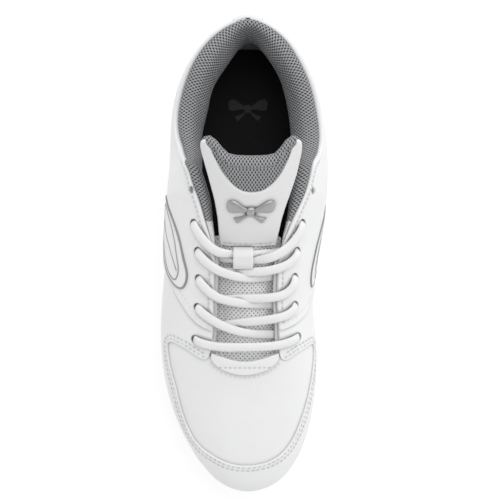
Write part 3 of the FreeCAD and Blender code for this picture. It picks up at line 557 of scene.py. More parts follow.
def weave_material(name, colour, dark, pitch_u, pitch_v, hole, stretch):
    """Knitted mesh: staggered rows of dark oval holes between pale threads, on UVs in millimetres."""
    mat, tree, shader = nodes_of(name)
    split = tree.nodes.new("ShaderNodeSeparateXYZ")
    tree.links.new(node(tree, "ShaderNodeUVMap", {}, "UV"), split.inputs[0])

    def maths(operation, *values):
        return node(tree, "ShaderNodeMath", dict(enumerate(values)), operation=operation)

    total = None
    for shift in (0.0, 0.5):
        squares = []
        for axis, pitch, size in (("X", pitch_u, hole), ("Y", pitch_v, stretch)):
            turns = maths("ADD", maths("DIVIDE", split.outputs[axis], pitch), shift)
            away = maths("DIVIDE", maths("SUBTRACT", maths("FRACT", turns), 0.5), size)
            squares.append(maths("MULTIPLY", away, away))
        far = maths("MINIMUM", maths("ADD", *squares), 1.6)
        total = far if total is None else maths("MINIMUM", total, far)
    fuzz = object_noise(tree, 900.0)
    mask = ramp(tree, total, [(0.25, 0.0), (0.9, 1.0)])
    thread = mottled(tree, fuzz, colour, 0.90)
    inputs = {"A": (*dark, 1), "Factor": mask, "B": thread}
    mix = node(tree, "ShaderNodeMix", inputs, "Result", data_type="RGBA")
    fill(tree, shader, {"Base Color": mix, "Roughness": 0.85, "Specular IOR Level": 0.2})
    first = bump(tree, shader, total, 0.55, 0.0004)
    bump(tree, shader, fuzz, 0.3, 0.0002, first)
    return mat


def woven(name, colour):
    """Braided cord or ribbon: a small chevron of yarns on UVs in millimetres, with painted shade in its
    creases.
    """
    mat, tree, shader = nodes_of(name)
    uv = node(tree, "ShaderNodeUVMap", {}, "UV")
    waves = []
    for angle in (55, -55):
        rotation = (0, 0, math.radians(angle))
        turn = node(tree, "ShaderNodeMapping", {"Rotation": rotation, "Vector": uv}, "Vector")
        waves.append(node(tree, "ShaderNodeTexWave", {"Scale": 0.42, "Vector": turn}, "Fac"))
    yarns = node(tree, "ShaderNodeMath", dict(enumerate(waves)), operation="MULTIPLY")
    tint = ramp(tree, yarns, [(0.0, tuple(c * 0.88 for c in colour)), (0.5, colour)])
    # The base colour is darkened by painted shade in creases and where strands touch.
    fill(tree, shader, {"Base Color": painted_crease_shade(tree, tint, 0.0016, 0.45), "Roughness": 0.8,
                        "Specular IOR Level": 0.2})
    bump(tree, shader, yarns, 0.35, 0.0003)
    return mat


def plain(name, colour, rough=0.6, noise=160.0, depth=0.15, variation=0.06, metallic=0.0, specular=0.4,
          reach=None):
    """A moulded or coated material with a fine uneven surface, and painted shade in its seams and creases
    when given a reach.
    """
    mat, tree, shader = nodes_of(name)
    speckle = object_noise(tree, noise, 4.0)
    tint = mottled(tree, speckle, colour, 1 - variation)
    # With a reach, the base colour is darkened by painted shade in seams and creases.
    fill(tree, shader, {"Base Color": painted_crease_shade(tree, tint, reach, 0.35) if reach else tint, "Roughness": rough,
                        "Metallic": metallic, "Specular IOR Level": specular})
    bump(tree, shader, speckle, depth, 0.0003)
    return mat


# Knitted meshes: pitch across and along, half width and half length of a hole as parts of the pitch.
GREY_WEAVE = (1.75, 2.9, 0.30, 0.34)
TONGUE_PITCH = 2.6

WHITE = (0.86, 0.862, 0.868)
UPPER = leather("upper_leather", WHITE)
TONGUE_LEATHER = leather("tongue_leather", (0.80, 0.80, 0.805), rough=0.46, grain=0.3)
THREAD = plain("thread", (0.74, 0.74, 0.75), rough=0.7, noise=2500, depth=0.2)
GREY_MESH = weave_material("collar_mesh", (0.40, 0.405, 0.42), (0.045, 0.045, 0.05), *GREY_WEAVE)
TONGUE_MESH = weave_material("tongue_mesh", (0.91, 0.91, 0.915), (0.22, 0.22, 0.23), TONGUE_PITCH,
                             TONGUE_PITCH, 0.21, 0.19)
PALE_KNIT = weave_material("lining_knit", (0.84, 0.84, 0.85), (0.30, 0.30, 0.31), 1.3, 1.3, 0.2, 0.2)
LACE = woven("lace_cord", (0.91, 0.91, 0.915))
WEBBING = plain("loop_webbing", (0.80, 0.80, 0.81), rough=0.8, noise=1800, depth=0.3)
BLACK = plain("footbed_cloth", (0.012, 0.012, 0.013), rough=0.95, noise=2200, depth=0.4,
              variation=0.4, specular=0.1)
LINING = plain("lining_cloth", (0.10, 0.10, 0.105), rough=0.95, noise=1500, depth=0.4,
               variation=0.3, specular=0.15)
MARK = plain("footbed_mark", (0.028, 0.028, 0.029), rough=0.85, noise=1500, depth=0.2, specular=0.2)
# The badge film's reach paints shade dark along its edges and creases.
SILVER = plain("badge_film", (0.44, 0.44, 0.45), rough=0.34, noise=300, depth=0.06,
               metallic=0.45, specular=0.6, reach=0.002)
PEWTER = plain("emblem_film", (0.34, 0.34, 0.35), rough=0.4, noise=300, depth=0.06, metallic=0.3,
               specular=0.5)
SOLE_WHITE = plain("midsole_foam", (0.83, 0.832, 0.84), rough=0.55, noise=420, depth=0.2)
RUBBER = plain("outsole_rubber", (0.80, 0.80, 0.81), rough=0.5, noise=500, depth=0.25)
HIDDEN = plain("stiffener", (0.55, 0.52, 0.47), rough=0.9, noise=700, depth=0.3, variation=0.2)
BOARD = plain("board", (0.42, 0.36, 0.28), rough=0.9, noise=900, depth=0.3, variation=0.25)
PLASTIC = plain("aglet_plastic", (0.82, 0.82, 0.83), rough=0.25, noise=60, depth=0.05, specular=0.6)

# -------------------------------------------------------------------------------------- edges of the upper
THROAT_LATERAL = [(-16.4, -47.6), (-15.2, -36), (-14.7, -20), (-14.1, -7.6), (-13.7, 2.5), (-14.6, 10.5),
                  (-16.5, 16.8), (-18.5, 23.5), (-20.9, 32.4), (-22.9, 38.6), (-24.9, 44.4), (-26.7, 50.5)]
THROAT_MEDIAL = [(21.9, -48.6), (21.7, -36), (20.6, -19.5), (20.8, -7.7), (21.4, 3), (23.6, 12), (26.3, 19),
                 (28.9, 25.7), (32, 32.6), (35.4, 40.6), (37.6, 48), (38.8, 52)]
TOPLINE = [(58.5, 81.5), (65, 74), (74, 69), (86, 68.3), (100, 71), (113, 74.5), (124, 77.5), (131, 78.8)]
HEEL_TOP = 79.2


def edge_of(side):
    """The leather's free edge on one side, from the throat's front to the heel's middle."""
    low = BASE.from_plan(THROAT_LATERAL if side < 0 else THROAT_MEDIAL)
    rim = BASE.from_side(side, TOPLINE)
    end = BASE.along[-1]
    back = (end, side * np.interp(HEEL_TOP, BASE.grid[-1, ::-1, 2][: BASE.COLS + 1],
                                  np.linspace(BASE.half[-1, 1], 0, BASE.COLS + 1)))
    return smooth_loop(np.vstack([low, rim, [back]]), 0.8)


EDGE = {-1: edge_of(-1), 1: edge_of(1)}
VAMP_EDGE = [(-41.9, -48), (-41.6, -52), (-40.0, -61.3), (-37.7, -70.1), (-34.9, -82.1), (-29.7, -97.0),
             (-23.8, -105.6), (-17.9, -109.9), (-12.0, -113.1), (-6.1, -115.3), (5.5, -116.4),
             (11.3, -115.6), (17.1, -113.8), (23.0, -110.3), (28.9, -103.5), (34.8, -90.8), (38.5, -79.2),
             (41.0, -67.5), (42.4, -56.0), (42.6, -49)]
WING_LATERAL = [(-16.8, -48.6), (-17.6, -51.6), (-19.6, -53.4), (-22.8, -52.6), (-27, -50), (-31.5, -47.2),
                (-36.5, -45), (-40.4, -44.4), (-41.7, -45.8), (-41.9, -48)]
WING_MEDIAL = [(42.6, -49), (42.0, -46.8), (39.6, -46.6), (35.3, -48.6), (30, -51.4), (24.6, -53.6),
               (22.6, -52.2), (21.9, -48.6)]
SEAM_LATERAL = [(-15.2, -36.4), (-22.4, -33.2), (-28.1, -27.7), (-32.6, -21), (-36.8, -13.8), (-39.8, -7),
                (-42.0, -1.2)]
SEAM_MEDIAL = [(21.7, -36.2), (28.0, -34.0), (33.8, -30.4), (38.4, -25), (41.2, -19.5)]


def to_foot(side, line, drop_run):
    """A seam carried on down the wall to its foot."""
    last = line[-1]
    foot_a = last[0] + drop_run
    foot_b = BASE.foot(side, foot_a)
    middle = (last[0] + 0.62 * drop_run, last[1] + 0.5 * (foot_b - last[1]))
    return smooth_loop(np.vstack([line, [middle, (foot_a, foot_b)]]), 0.8)


SEAM = {
    -1: to_foot(-1, BASE.from_plan(SEAM_LATERAL), 20.0),
    1: to_foot(1, BASE.from_plan(SEAM_MEDIAL), 17.0),
}
VAMP_LINE = smooth_loop(BASE.from_plan(VAMP_EDGE), 0.8)
WING = {
    -1: smooth_loop(BASE.from_plan(WING_LATERAL), 0.5),
    1: smooth_loop(BASE.from_plan(WING_MEDIAL), 0.5),
}
EYELET_PLAN = {
    -1: [(-25.6, 40.4), (-24.6, 23.4), (-22.8, 8.4), (-22.6, -6.6), (-23.6, -22.6), (-25.4, -41.4)],
    1: [(39.2, 40.4), (33.6, 23.4), (31, 8.4), (30, -6.0), (30.4, -21.8), (32.6, -40.4)],
}
EYELET = {side: BASE.from_plan(places) for side, places in EYELET_PLAN.items()}


def ring(centre, radius):
    """A round outline, for an eyelet."""
    angle = round_angles(18)
    return centre + radius * np.column_stack([np.cos(angle), np.sin(angle)])


def foot_line(side, start, end):
    """The wall's foot between two distances from the toe."""
    a = np.linspace(start, end, max(int(abs(end - start)), 2))
    return np.column_stack([a, BASE.foot(side, a)])


# ------------------------------------------------------------------------------------------ leather panels
NOSE = 0.04
UNDERLAP = 5.0
INNER_LINE = np.vstack([WING[-1], VAMP_LINE, WING[1]])


def shifted(line, distance):
    """A seam line moved back along the shoe, for the part that lies under the next panel."""
    return line + np.array([distance, 0.0])


def throat_part(side, low, high):
    """The free edge between two distances from the toe."""
    line = EDGE[side]
    return line[(line[:, 0] >= low) & (line[:, 0] <= high)]


def mudguard():
    """The piece that wraps round the toe and runs back to both sides of the throat."""
    left, right = shifted(SEAM[-1], UNDERLAP), shifted(SEAM[1], UNDERLAP)
    left[-1, 1] = BASE.foot(-1, left[-1, 0])
    right[-1, 1] = BASE.foot(1, right[-1, 0])
    nose = np.column_stack([np.full(30, NOSE), np.linspace(BASE.foot(-1, NOSE), BASE.foot(1, NOSE), 30)])
    loop = joined(
        left, foot_line(-1, left[-1, 0], NOSE), nose, foot_line(1, NOSE, right[-1, 0]), right[::-1],
        throat_part(1, WING[1][-1, 0] + 0.5, right[0, 0] - 0.5)[::-1], WING[1][::-1], VAMP_LINE[::-1],
        WING[-1][::-1], throat_part(-1, WING[-1][0, 0] + 0.5, left[0, 0] - 0.5),
    )
    holes = [ring(EYELET[side][5], 2.3) for side in (-1, 1)]

    def relief(uv):
        near = np.minimum(distance_to(uv, INNER_LINE, False), 40)
        lift = 0.3 + 0.75 * np.exp(-near / 9)
        behind = np.minimum(distance_to(uv, SEAM[-1], False), distance_to(uv, SEAM[1], False))
        beyond = np.where(uv[:, 1] < 0, uv[:, 0] - np.interp(-uv[:, 1], -SEAM[-1][:, 1], SEAM[-1][:, 0]),
                          uv[:, 0] - np.interp(uv[:, 1], SEAM[1][:, 1], SEAM[1][:, 0]))
        tuck = np.where(beyond > 0, 1.0, np.exp(-((behind / 2.5) ** 2)))
        meeting = 0.7 * (1 - edge_rise(uv[:, 0] - NOSE, 0.8))
        return lift - 0.35 * tuck + meeting

    rows = [offset_line(INNER_LINE, d) for d in (2.0, 4.2)]
    obj = panel("toe_guard", loop, UPPER, thick=1.5, holes=holes, cell=1.25, radius=0.8,
                dents=[(row, 0.30, 0.55, False) for row in rows], relief=relief)
    tip = min(vert.co.y for vert in obj.data.vertices)
    for vert in obj.data.vertices:
        if vert.co.y < tip + 0.9 * MM and abs(vert.co.x - CREST_X * MM) < 1.0 * MM:
            vert.co.x = CREST_X * MM
    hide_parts("toe_foxing", "saddle_lateral", "saddle_medial")
    rows = [trimmed(row, 3, 3) for row in rows]
    thread = stitches("toe_guard_stitching", rows, THREAD, lift=0.78, length=2.1)


def vamp_panel():
    """The broad smooth piece over the toes."""
    outer = offset_line(VAMP_LINE, 4.0)
    top = BASE.from_plan([(44, -44), (36, -45), (27, -49), (20, -53), (3, -57), (-13, -53), (-22, -48),
                          (-33, -43), (-43, -43)])
    loop = joined(outer, smooth_loop(top, 1.0))
    obj = panel("vamp_skin", loop, UPPER, thick=1.3, cell=1.4, radius=0.5)
    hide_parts("vamp")


def quarter_rise(side, uv):
    """How far the quarter stands off the base surface: most at its front seam and over the padded ankle."""
    pad = np.clip((uv[:, 0] - 150) / 30, 0, 1)
    high = np.abs(uv[:, 1]) / np.abs(BASE.foot(side, uv[:, 0]))
    puff = 1.4 * pad * np.exp(-(((high - 0.62) / 0.13) ** 2))
    return 0.6 + 0.95 * np.exp(-distance_to(uv, SEAM[side], False) / 8) + puff


def quarter(side, name):
    """The side panel from the throat seam to the heel, with the eyelets and the topline."""
    edge, seam = EDGE[side], SEAM[side]
    end = BASE.along[-1] - 0.05
    upper = edge[(edge[:, 0] > seam[0, 0] + 0.6) & (edge[:, 0] < end)]
    back = np.column_stack([np.full(60, end), np.linspace(upper[-1, 1], BASE.foot(side, end), 60)])
    loop = joined(seam[::-1], upper, back, foot_line(side, end, seam[-1, 0]))
    rim = offset_line(upper, side * 2.6)
    rows = [offset_line(seam, -side * d) for d in (1.9, 3.9)]
    dents = [(rim, 0.30, 0.55, False)] + [(row, 0.28, 0.55, False) for row in rows]
    obj = panel(name, loop, UPPER, thick=1.5, holes=[ring(EYELET[side][k], 2.0) for k in range(5)], cell=1.25,
                radius=0.8, dents=dents, relief=lambda uv: quarter_rise(side, uv))
    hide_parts("quarter_lateral" if side < 0 else "quarter_medial")
    thread = stitches(name + "_stitching", [trimmed(row, 2, 2) for row in [rim] + rows], THREAD, lift=0.9)


mudguard()
vamp_panel()
quarter(-1, "quarter_skin_lateral")
quarter(1, "quarter_skin_medial")

# ------------------------------------------------------------------------------------------- grid surfaces


def sheet_faces(rows, cols, ring):
    """Quads between the rows of a grid whose columns wrap round; in a ring the last row meets the first."""
    faces = []
    for i in range(rows if ring else rows - 1):
        for j in range(cols):
            here, after = i * cols, ((i + 1) % rows) * cols
            faces.append((here + j, here + (j + 1) % cols, after + (j + 1) % cols, after + j))
    return faces


def tube(name, grid, uv, material, flip=True, body=ROOT, ring=False, sharp=60):
    """A closed surface from a grid of points: its columns wrap round, its rows end in caps or form a ring."""
    rows, cols = grid.shape[:2]
    faces = sheet_faces(rows, cols, ring)
    if not ring:
        faces.append(tuple(range(cols - 1, -1, -1)))
        faces.append(tuple((rows - 1) * cols + j for j in range(cols)))
    if flip:
        faces = [f[::-1] for f in faces]
    return new_mesh(name, grid.reshape(-1, 3), faces, material, uv.reshape(-1, 2), body, sharp)


def holes_relief(uv, pitch_u, pitch_v, hole, stretch):
    """How deep a knitted mesh dips at each place: 1 in a hole's middle, 0 on the threads."""
    u, v = uv[..., 0] / pitch_u, uv[..., 1] / pitch_v
    near = np.full(u.shape, 9.0)
    for shift in (0.0, 0.5):
        du = (np.mod(u + shift, 1) - 0.5) / hole
        dv = (np.mod(v + shift, 1) - 0.5) / stretch
        near = np.minimum(near, du * du + dv * dv)
    return np.exp(-near * 1.2)


def smoothed(values, width):
    """Moving average along the first axis."""
    width = max(int(width) | 1, 1)
    half = width // 2
    padded_values = np.pad(values, [(half, half)] + [(0, 0)] * (values.ndim - 1), mode="edge")
    total = np.cumsum(np.insert(padded_values, 0, 0, axis=0), axis=0)
    return (total[width:] - total[:-width]) / width


# ---------------------------------------------------------------------------------------------- the collar
MOUTH_LATERAL = [(-13.9, 8), (-13.4, 16), (-14, 23.5), (-15.2, 32.4), (-18, 44.5), (-20.3, 54), (-21.6, 69),
                 (-20.6, 80.4), (-18.9, 87), (-16.6, 95.8), (-13.8, 102.4), (-9.9, 108.5), (-3.4, 118.4),
                 (1, 124.2), (5.0, 126.6)]
MOUTH_MEDIAL = [(22.4, 8), (22.8, 16), (24.2, 23.5), (25.8, 32.4), (27.6, 44.5), (28.8, 54), (29.2, 69),
                (28.2, 79), (27.6, 84), (26.0, 93), (23.9, 100.4), (20.4, 107.9), (13.4, 118.4), (9.2, 124.2),
                (5.0, 126.6)]
MOUTH = {-1: MOUTH_LATERAL, 1: MOUTH_MEDIAL}
# Places along the shoe where the leather's edge and the mouth's are matched.
KEY_Y = [8, 23.5, 44.5, 54, 69, 87]
COLLAR_TABLE = np.array([
    # y, bulge over the leather's edge, drop at the inner edge, depth of the inner wall
    (8, 0.1, 0.8, 2.5), (14, 0.4, 1.6, 4), (22, 0.9, 2.8, 7), (32, 1.4, 4.0, 10), (44, 2.0, 5.2, 15),
    (52, 2.6, 6.2, 22), (60, 3.1, 7.2, 25), (72, 3.8, 8.2, 24), (90, 4.4, 9.5, 24), (110, 4.6, 10, 27),
    (125, 4.4, 11, 31), (134, 4.2, 12, 33),
])
# The roll's profile: part of the way inward, then the parts of the bulge, the drop and the depth.
COLLAR_SHAPE = [(0.0, 0.0, 0.0, 0.0), (0.02, 0.5, 0, 0), (0.14, 0.88, 0, 0), (0.34, 1.0, 0, 0),
                (0.56, 0.80, 0, 0), (0.76, 0.30, -0.10, 0), (0.91, 0, -0.42, 0), (0.99, 0, -0.85, 0),
                (1.0, 0, -0.75, -0.22), (0.93, 0, -0.4, -0.55), (0.72, 0, 0, -1.0)]
COLLAR_BASE_Z = 51.5
COLLAR_FRONT_Y = 24.0


def collar_side(side, step):
    """Stations of one side from the throat to the heel: edge, hidden edge, inner point."""
    edge = EDGE[side]
    edge = edge[edge[:, 0] >= BASE.from_plan(MOUTH[side][:1])[0, 0]]
    run = run_of(BASE.at(edge, -0.9)[0])
    at = np.linspace(0, run[-1], int(run[-1] / step))
    edge = read_at(at, run, edge)
    top, _ = BASE.at(edge, -0.9)
    under, _ = BASE.at(offset_line(edge, side * 4.0), -2.6)
    mouth = spline_points(MOUTH[side], 900)
    mouth_run = run_of(mouth)
    keys = []
    for line, place in ((top, at), (mouth, mouth_run)):
        keys.append([place[int(np.argmax(line[:, 1] >= y))] for y in KEY_Y] + [place[-1]])
    return top, under, read_at(np.interp(at, *keys), mouth_run, mouth)


def collar():
    """The padded collar: a swept roll of mesh from the leather's edge over and down inside the shoe."""
    step = 0.5
    parts = [collar_side(side, step) for side in (-1, 1)]
    top, under, inner = (np.vstack([a, b[::-1][1:]]) for a, b in zip(*parts))
    top, under, inner = smoothed(top, 5 / step), smoothed(under, 5 / step), smoothed(inner, 7 / step)
    inward = inner - top[:, :2]
    table = [np.interp(top[:, 1], COLLAR_TABLE[:, 0], COLLAR_TABLE[:, k]) for k in (1, 2, 3)]
    bulge, drop, depth = (smoothed(t, 9 / step) for t in table)
    depth = np.where(top[:, 1] > 56, np.maximum(top[:, 2] - COLLAR_BASE_Z, depth), depth)
    depth = smoothed(depth, 9 / step)
    controls = [under]
    for part, up, down, deep in COLLAR_SHAPE:
        z = top[:, 2] + bulge * up + drop * down + depth * deep
        controls.append(np.column_stack([top[:, :2] + inward * part, z]))
    cols = 104
    grid = np.array([spline_points(station, cols) for station in np.stack(controls, axis=1)])
    along = run_of(grid[:, cols // 3])
    across = np.cumsum(np.linalg.norm(np.diff(grid, axis=1), axis=2), axis=1)
    across = np.concatenate([np.zeros((len(grid), 1)), across], axis=1)
    uv = np.stack([np.broadcast_to(along[:, None], across.shape), across], axis=2)
    dip = holes_relief(uv, *GREY_WEAVE)
    fade = np.clip(np.minimum(along, along[-1] - along) / 14, 0, 1)[:, None]
    rng = np.random.default_rng(3)
    waves = sum(
        0.16 * np.sin(uv[..., 0] / a + uv[..., 1] / b + p)
        for a, b, p in zip(rng.uniform(5, 12, 4), rng.uniform(4, 9, 4), rng.uniform(0, 6, 4))
    )
    grid = grid + normals_of(grid) * ((-0.32 * dip + waves) * fade)[..., None]
    back = np.stack([grid[:, -1] * (1 - t) + grid[:, 0] * t for t in (0.25, 0.5, 0.75)], axis=1)
    uv = np.concatenate([uv, np.repeat(uv[:, -1:], 3, axis=1)], axis=1)
    obj = tube("collar_pad", np.concatenate([grid, back], axis=1), uv, GREY_MESH, flip=False)
    obj.data.materials.append(PALE_KNIT)
    for face in obj.data.polygons:
        face.material_index = int(face.center.y < COLLAR_FRONT_Y * MM)
    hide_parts("collar_foam", "collar_lining")


collar()

# ------------------------------------------------------------------------------------- linings and footbed


def crest_place(y):
    """How far along the crest a place of the shoe lies."""
    return float(np.interp(y, BASE.y, BASE.along))


def lining(name, low, high, node, cloth, top_height=None):
    """A thin inner skin under the leather, between two distances along the crest."""
    reveal = [crest_place(y) for y in (-50, 2, 9)]
    left, right = EDGE[-1], EDGE[1]
    rows = []
    for a in np.linspace(low, high, 70):
        ends = [np.interp(a, edge[:, 0], edge[:, 1]) if a > edge[0, 0] else 0.0 for edge in (left, right)]
        if a <= left[0, 0] + 1:
            open_part = np.clip((a - crest_place(-60)) / 3, 0, 1)
            ends = [left[0, 1] * open_part, right[0, 1] * open_part]
        if top_height is not None:
            ends = [BASE.foot(s, a) - s * top_height for s in (-1, 1)]
        rows.append((a, *ends))
    for k, side in ((1, -1), (2, 1)):
        grid = []
        for row in rows:
            edge_b = row[k] + side * np.interp(row[0], reveal, (-1.7, -1.7, 0.8))
            b = np.linspace(BASE.foot(side, row[0]), edge_b, 40)
            grid.append(np.column_stack([np.full(40, row[0]), b]))
        grid = np.array(grid)
        flat = grid.reshape(-1, 2)
        outer, inner = (BASE.at(flat, lift)[0].reshape(len(grid), 40, 3) for lift in (-2.0, -3.0))
        whole = np.concatenate([outer, inner[:, ::-1]], axis=1)
        uv = np.concatenate([grid, grid[:, ::-1]], axis=1)
        obj = tube(f"{name}_{'lateral' if side < 0 else 'medial'}", whole, uv, cloth, flip=side > 0)
        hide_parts(node)


lining("front_lining", 3.0, crest_place(42), "vamp_lining", PALE_KNIT)
lining("heel_skin", crest_place(40), BASE.along[-1] - 0.3, "heel_lining", LINING, 34.0)

SOLE_LINE = spline_points(SOLE_OUTLINE, 360, closed=True)


def inset_loop(line, distance):
    """A closed outline moved inward."""
    return line + inward_of(line, 0) * distance


FOOTBED_LOOP = inset_loop(SOLE_LINE, 9.2)


def level_place(uv, z):
    """Points over the plan at given heights, with upright normals."""
    return np.column_stack([uv, z]), np.tile([0.0, 0.0, 1.0], (len(uv), 1))


def footbed_place(uv, lift):
    """The footbed's top: it follows the last's underside and cups up along its border."""
    rise = 2.2 * np.exp(-(distance_to(uv, FOOTBED_LOOP) / 6.0))
    return level_place(uv, np.interp(uv[:, 1], FOOTBED_Y, FOOTBED_Z) + 4.9 + rise + lift)


BOW_WING = [(1.2, 0.8), (3.2, 2.6), (7.2, 5.6), (11.0, 6.6), (12.9, 5.2), (13.3, 2.0), (12.4, -0.8),
            (9.6, -1.4), (5.2, -0.6), (2.2, -0.4)]
BOW_TAIL = [(1.0, -1.4), (2.6, -2.2), (5.6, -4.0), (9.2, -5.6), (8.0, -6.6), (7.6, -8.2), (4.4, -6.2),
            (2.0, -3.6)]
BOW_KNOT = [(-2.0, 2.2), (0, 2.8), (2.0, 2.2), (2.4, 0), (2.0, -2.2), (0, -2.8), (-2.0, -2.2), (-2.4, 0)]


def bow_parts(centre, scale=1.0):
    """The closed outlines of a ribbon bow: two wings, two tails and a knot."""
    loops = []
    for points in (BOW_WING, BOW_TAIL):
        loop = spline_points(points, 70, closed=True)
        loops += [loop, (loop * [-1, 1])[::-1]]
    loops.append(spline_points(BOW_KNOT, 40, closed=True))
    return [loop * scale + np.array(centre) for loop in loops]


def bow(name, centre, scale, material, top, thick, dome, body, place):
    """A raised ribbon bow made of its parts, each swelling to its middle, the knot highest."""
    pieces = []
    for k, loop in enumerate(bow_parts(centre, scale)):
        lift = top + (0.3 * thick if k == 4 else -0.12 * thick if k > 1 else 0)
        pieces.append(panel(f"{name}_{k}", loop, material, top=lift, thick=thick, cell=0.6, radius=0.5,
                            body=body, place=place,
                            relief=lambda uv, edge=loop: dome * edge_rise(distance_to(uv, edge), 2.6)))
    return pieces


bed = panel("footbed_cloth", FOOTBED_LOOP, BLACK, thick=4.2, cell=2.4, radius=1.2, body="footbed",
            place=footbed_place)
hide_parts("sockliner")
for piece in bow("footbed_bow", (4.2, 93.5), 0.9, MARK, 0.2, 0.4, 0.1, "footbed", footbed_place):
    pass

# ---------------------------------------------------------------------------------------- the lower tongue
CROWN_DEPTH = 5.4
EDGE_DEPTH = 8.1


def tongue_place(uv, lift):
    """The lower tongue's face, under the laces: x across, y along the shoe."""
    ab = BASE.from_plan(uv)
    point, normal = BASE.at(ab, 0.0)
    part = np.abs(uv[:, 0] - CREST_X) / 24.0
    low = CROWN_DEPTH + (EDGE_DEPTH - CROWN_DEPTH) * np.clip(part / 0.6, 0, 1) ** 1.6
    sunk = np.interp(uv[:, 1], [-62, -54, -46, -30], [0.0, 0.35, 0.9, 1.0])
    depth = 3.8 + (low - 3.8) * sunk - lift
    return point - normal * depth[:, None], normal


def tongue_lower():
    """The knitted lower tongue, flat on top and back, with the mesh's holes pressed in."""
    step = 0.45
    ys = np.arange(-61, 12.6, step)
    xs = np.arange(-18.5, 26.6, step)
    gx, gy = np.meshgrid(xs, ys)
    flat = np.column_stack([gx.ravel(), gy.ravel()])
    dip = holes_relief(flat, TONGUE_PITCH, TONGUE_PITCH, 0.25, 0.23)
    shape = (len(ys), len(xs), 3)
    lifts = (-0.35 * dip, np.full(len(flat), -3.6))
    face, back = (tongue_place(flat, lift)[0].reshape(shape) for lift in lifts)
    uv = flat.reshape(len(ys), len(xs), 2)
    obj = tube("tongue_mesh", np.concatenate([face, back[:, ::-1]], axis=1),
               np.concatenate([uv, uv[:, ::-1]], axis=1), TONGUE_MESH)
    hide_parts("tongue_lower")


tongue_lower()

# ---------------------------------------------------------------------------------------- the upper tongue
HINGE = np.array([4.0, 11.3, 79.775])
LEAN = math.radians(38)
TONGUE_UP = np.array([0.0, math.cos(LEAN), math.sin(LEAN)])
TONGUE_BACK = np.array([0.0, math.sin(LEAN), -math.cos(LEAN)])
FLAP_T = [0, 16.9, 29.5, 41.4, 53, 60, 64]
FLAP_HALF = [15.3, 17.2, 19.8, 22.8, 25.2, 26.2, 26.2]
FLAP_CURL = [1.4, 2.4, 3.6, 5.2, 6.6, 7.2, 7.4]
FLAP_DRIFT = [0.4, 1.4, 2.3, 2.6, 2.3, 2.0, 2.0]
NOTCH_S = [0, 0.30, 0.46, 0.56, 0.66, 0.78, 0.9, 0.97, 1.0]
NOTCH_T = [53, 53, 53.6, 56.2, 60.2, 62.4, 61.4, 58.4, 54.5]


def flap_place(uv, lift):
    """The upper tongue's face: u across from its middle, v along it from the fold."""
    u, v = uv[:, 0], uv[:, 1]
    half, bent = np.interp(v, FLAP_T, FLAP_HALF), np.interp(v, FLAP_T, FLAP_CURL)
    s = np.clip(np.abs(u) / half, 0, 1.15)
    puff = 1.3 * (1 - s**2) * np.sin(np.clip(v / 56, 0, 1) * math.pi)
    point = HINGE + np.outer(v, TONGUE_UP) + np.outer(bent * s**2.2 - puff - lift, TONGUE_BACK)
    point[:, 0] += u + np.interp(v, FLAP_T, FLAP_DRIFT)
    slope = np.sign(u) * 2.2 * bent * s**1.2 / half
    return point, unit(-TONGUE_BACK + np.outer(slope, [1.0, 0, 0]), 0)


def tongue_body():
    """The padded mesh body: front, a roll over the top, and the back."""
    rows, uvs = [], []
    for s in np.linspace(-1, 1, 150):
        top = np.interp(abs(s), NOTCH_S, NOTCH_T)
        thick = 1.2 + 7.4 * (1 - abs(s) ** 5) ** 0.5
        radius = thick / 2
        profile = [(v, 0.0, v) for v in np.linspace(0, top - radius, 60)]
        for angle in np.linspace(0, math.pi, 26)[1:-1]:
            rise, depth = top - radius + radius * math.sin(angle), radius * (1 - math.cos(angle))
            profile.append((rise, depth, top + radius * angle))
        for v in np.linspace(top - radius, 0, 40):
            profile.append((v, thick * min(1.0, 0.45 + 0.55 * v / 14), 2 * top - v + 3 * radius))
        v, depth, length = np.array(profile).T
        across = s * np.interp(v, FLAP_T, FLAP_HALF)
        rows.append(flap_place(np.column_stack([across, v]), -depth)[0])
        uvs.append(np.column_stack([across, length]))
    grid, uv = np.array(rows), np.array(uvs)
    grid = grid + normals_of(grid) * (0.28 * holes_relief(uv, *GREY_WEAVE))[..., None]
    obj = tube("tongue_padding", grid, uv, GREY_MESH, body=FLAP)
    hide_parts("tongue_pad", "tongue_lining")


COVER_S = [0.0, 0.2, 0.4, 0.54, 0.64, 0.70, 0.75, 0.80, 0.86]
COVER_T = [35.0, 35.6, 38.2, 42.0, 46.2, 50.4, 54.6, 58.2, 60.4]
BADGE_AT = (0, 23.8)


def cover_outline():
    """The outline of the leather on the tongue: straight at the fold, two tips and a notch at the top."""
    side_t = np.array([-0.6, 8, 17, 30, 42, 50, 55.5])
    right = np.column_stack([np.interp(side_t, FLAP_T, FLAP_HALF) * 0.992, side_t])
    tip = np.array([(25.4, 58.6), (24.2, 61.0), (22.6, 61.6)])
    edge = np.column_stack([np.array(COVER_S) * np.interp(COVER_T, FLAP_T, FLAP_HALF), COVER_T])[::-1]
    half = smooth_loop(np.vstack([right, tip, edge]), 0.8)
    return joined(np.array([(0.0, -0.6)]), half, half[::-1] * [-1, 1])


def tongue_flap():
    """The folding tongue: its padded body, the leather on it and the bow."""
    tongue_body()
    row = np.column_stack([np.linspace(-13.6, 13.6, 40), np.full(40, 1.2)])
    dents = [(row, 0.4, 0.6, False)] + [(loop, 0.3, 1.1, True) for loop in bow_parts(BADGE_AT, 0.95)]
    cover = panel("tongue_skin", cover_outline(), TONGUE_LEATHER, top=0.9, thick=1.6, cell=1.1, radius=0.8,
                  body=FLAP, place=flap_place, dents=dents)
    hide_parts("tongue_cover")
    thread = stitches("tongue_stitching", [row], THREAD, lift=0.72, length=1.6, gap=1.0, wide=0.5, body=FLAP,
                      place=flap_place)
    for piece in bow("tongue_bow", BADGE_AT, 0.95, SILVER, 1.2, 1.1, 1.0, FLAP, flap_place):
        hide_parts("tongue_badge")


tongue_flap()

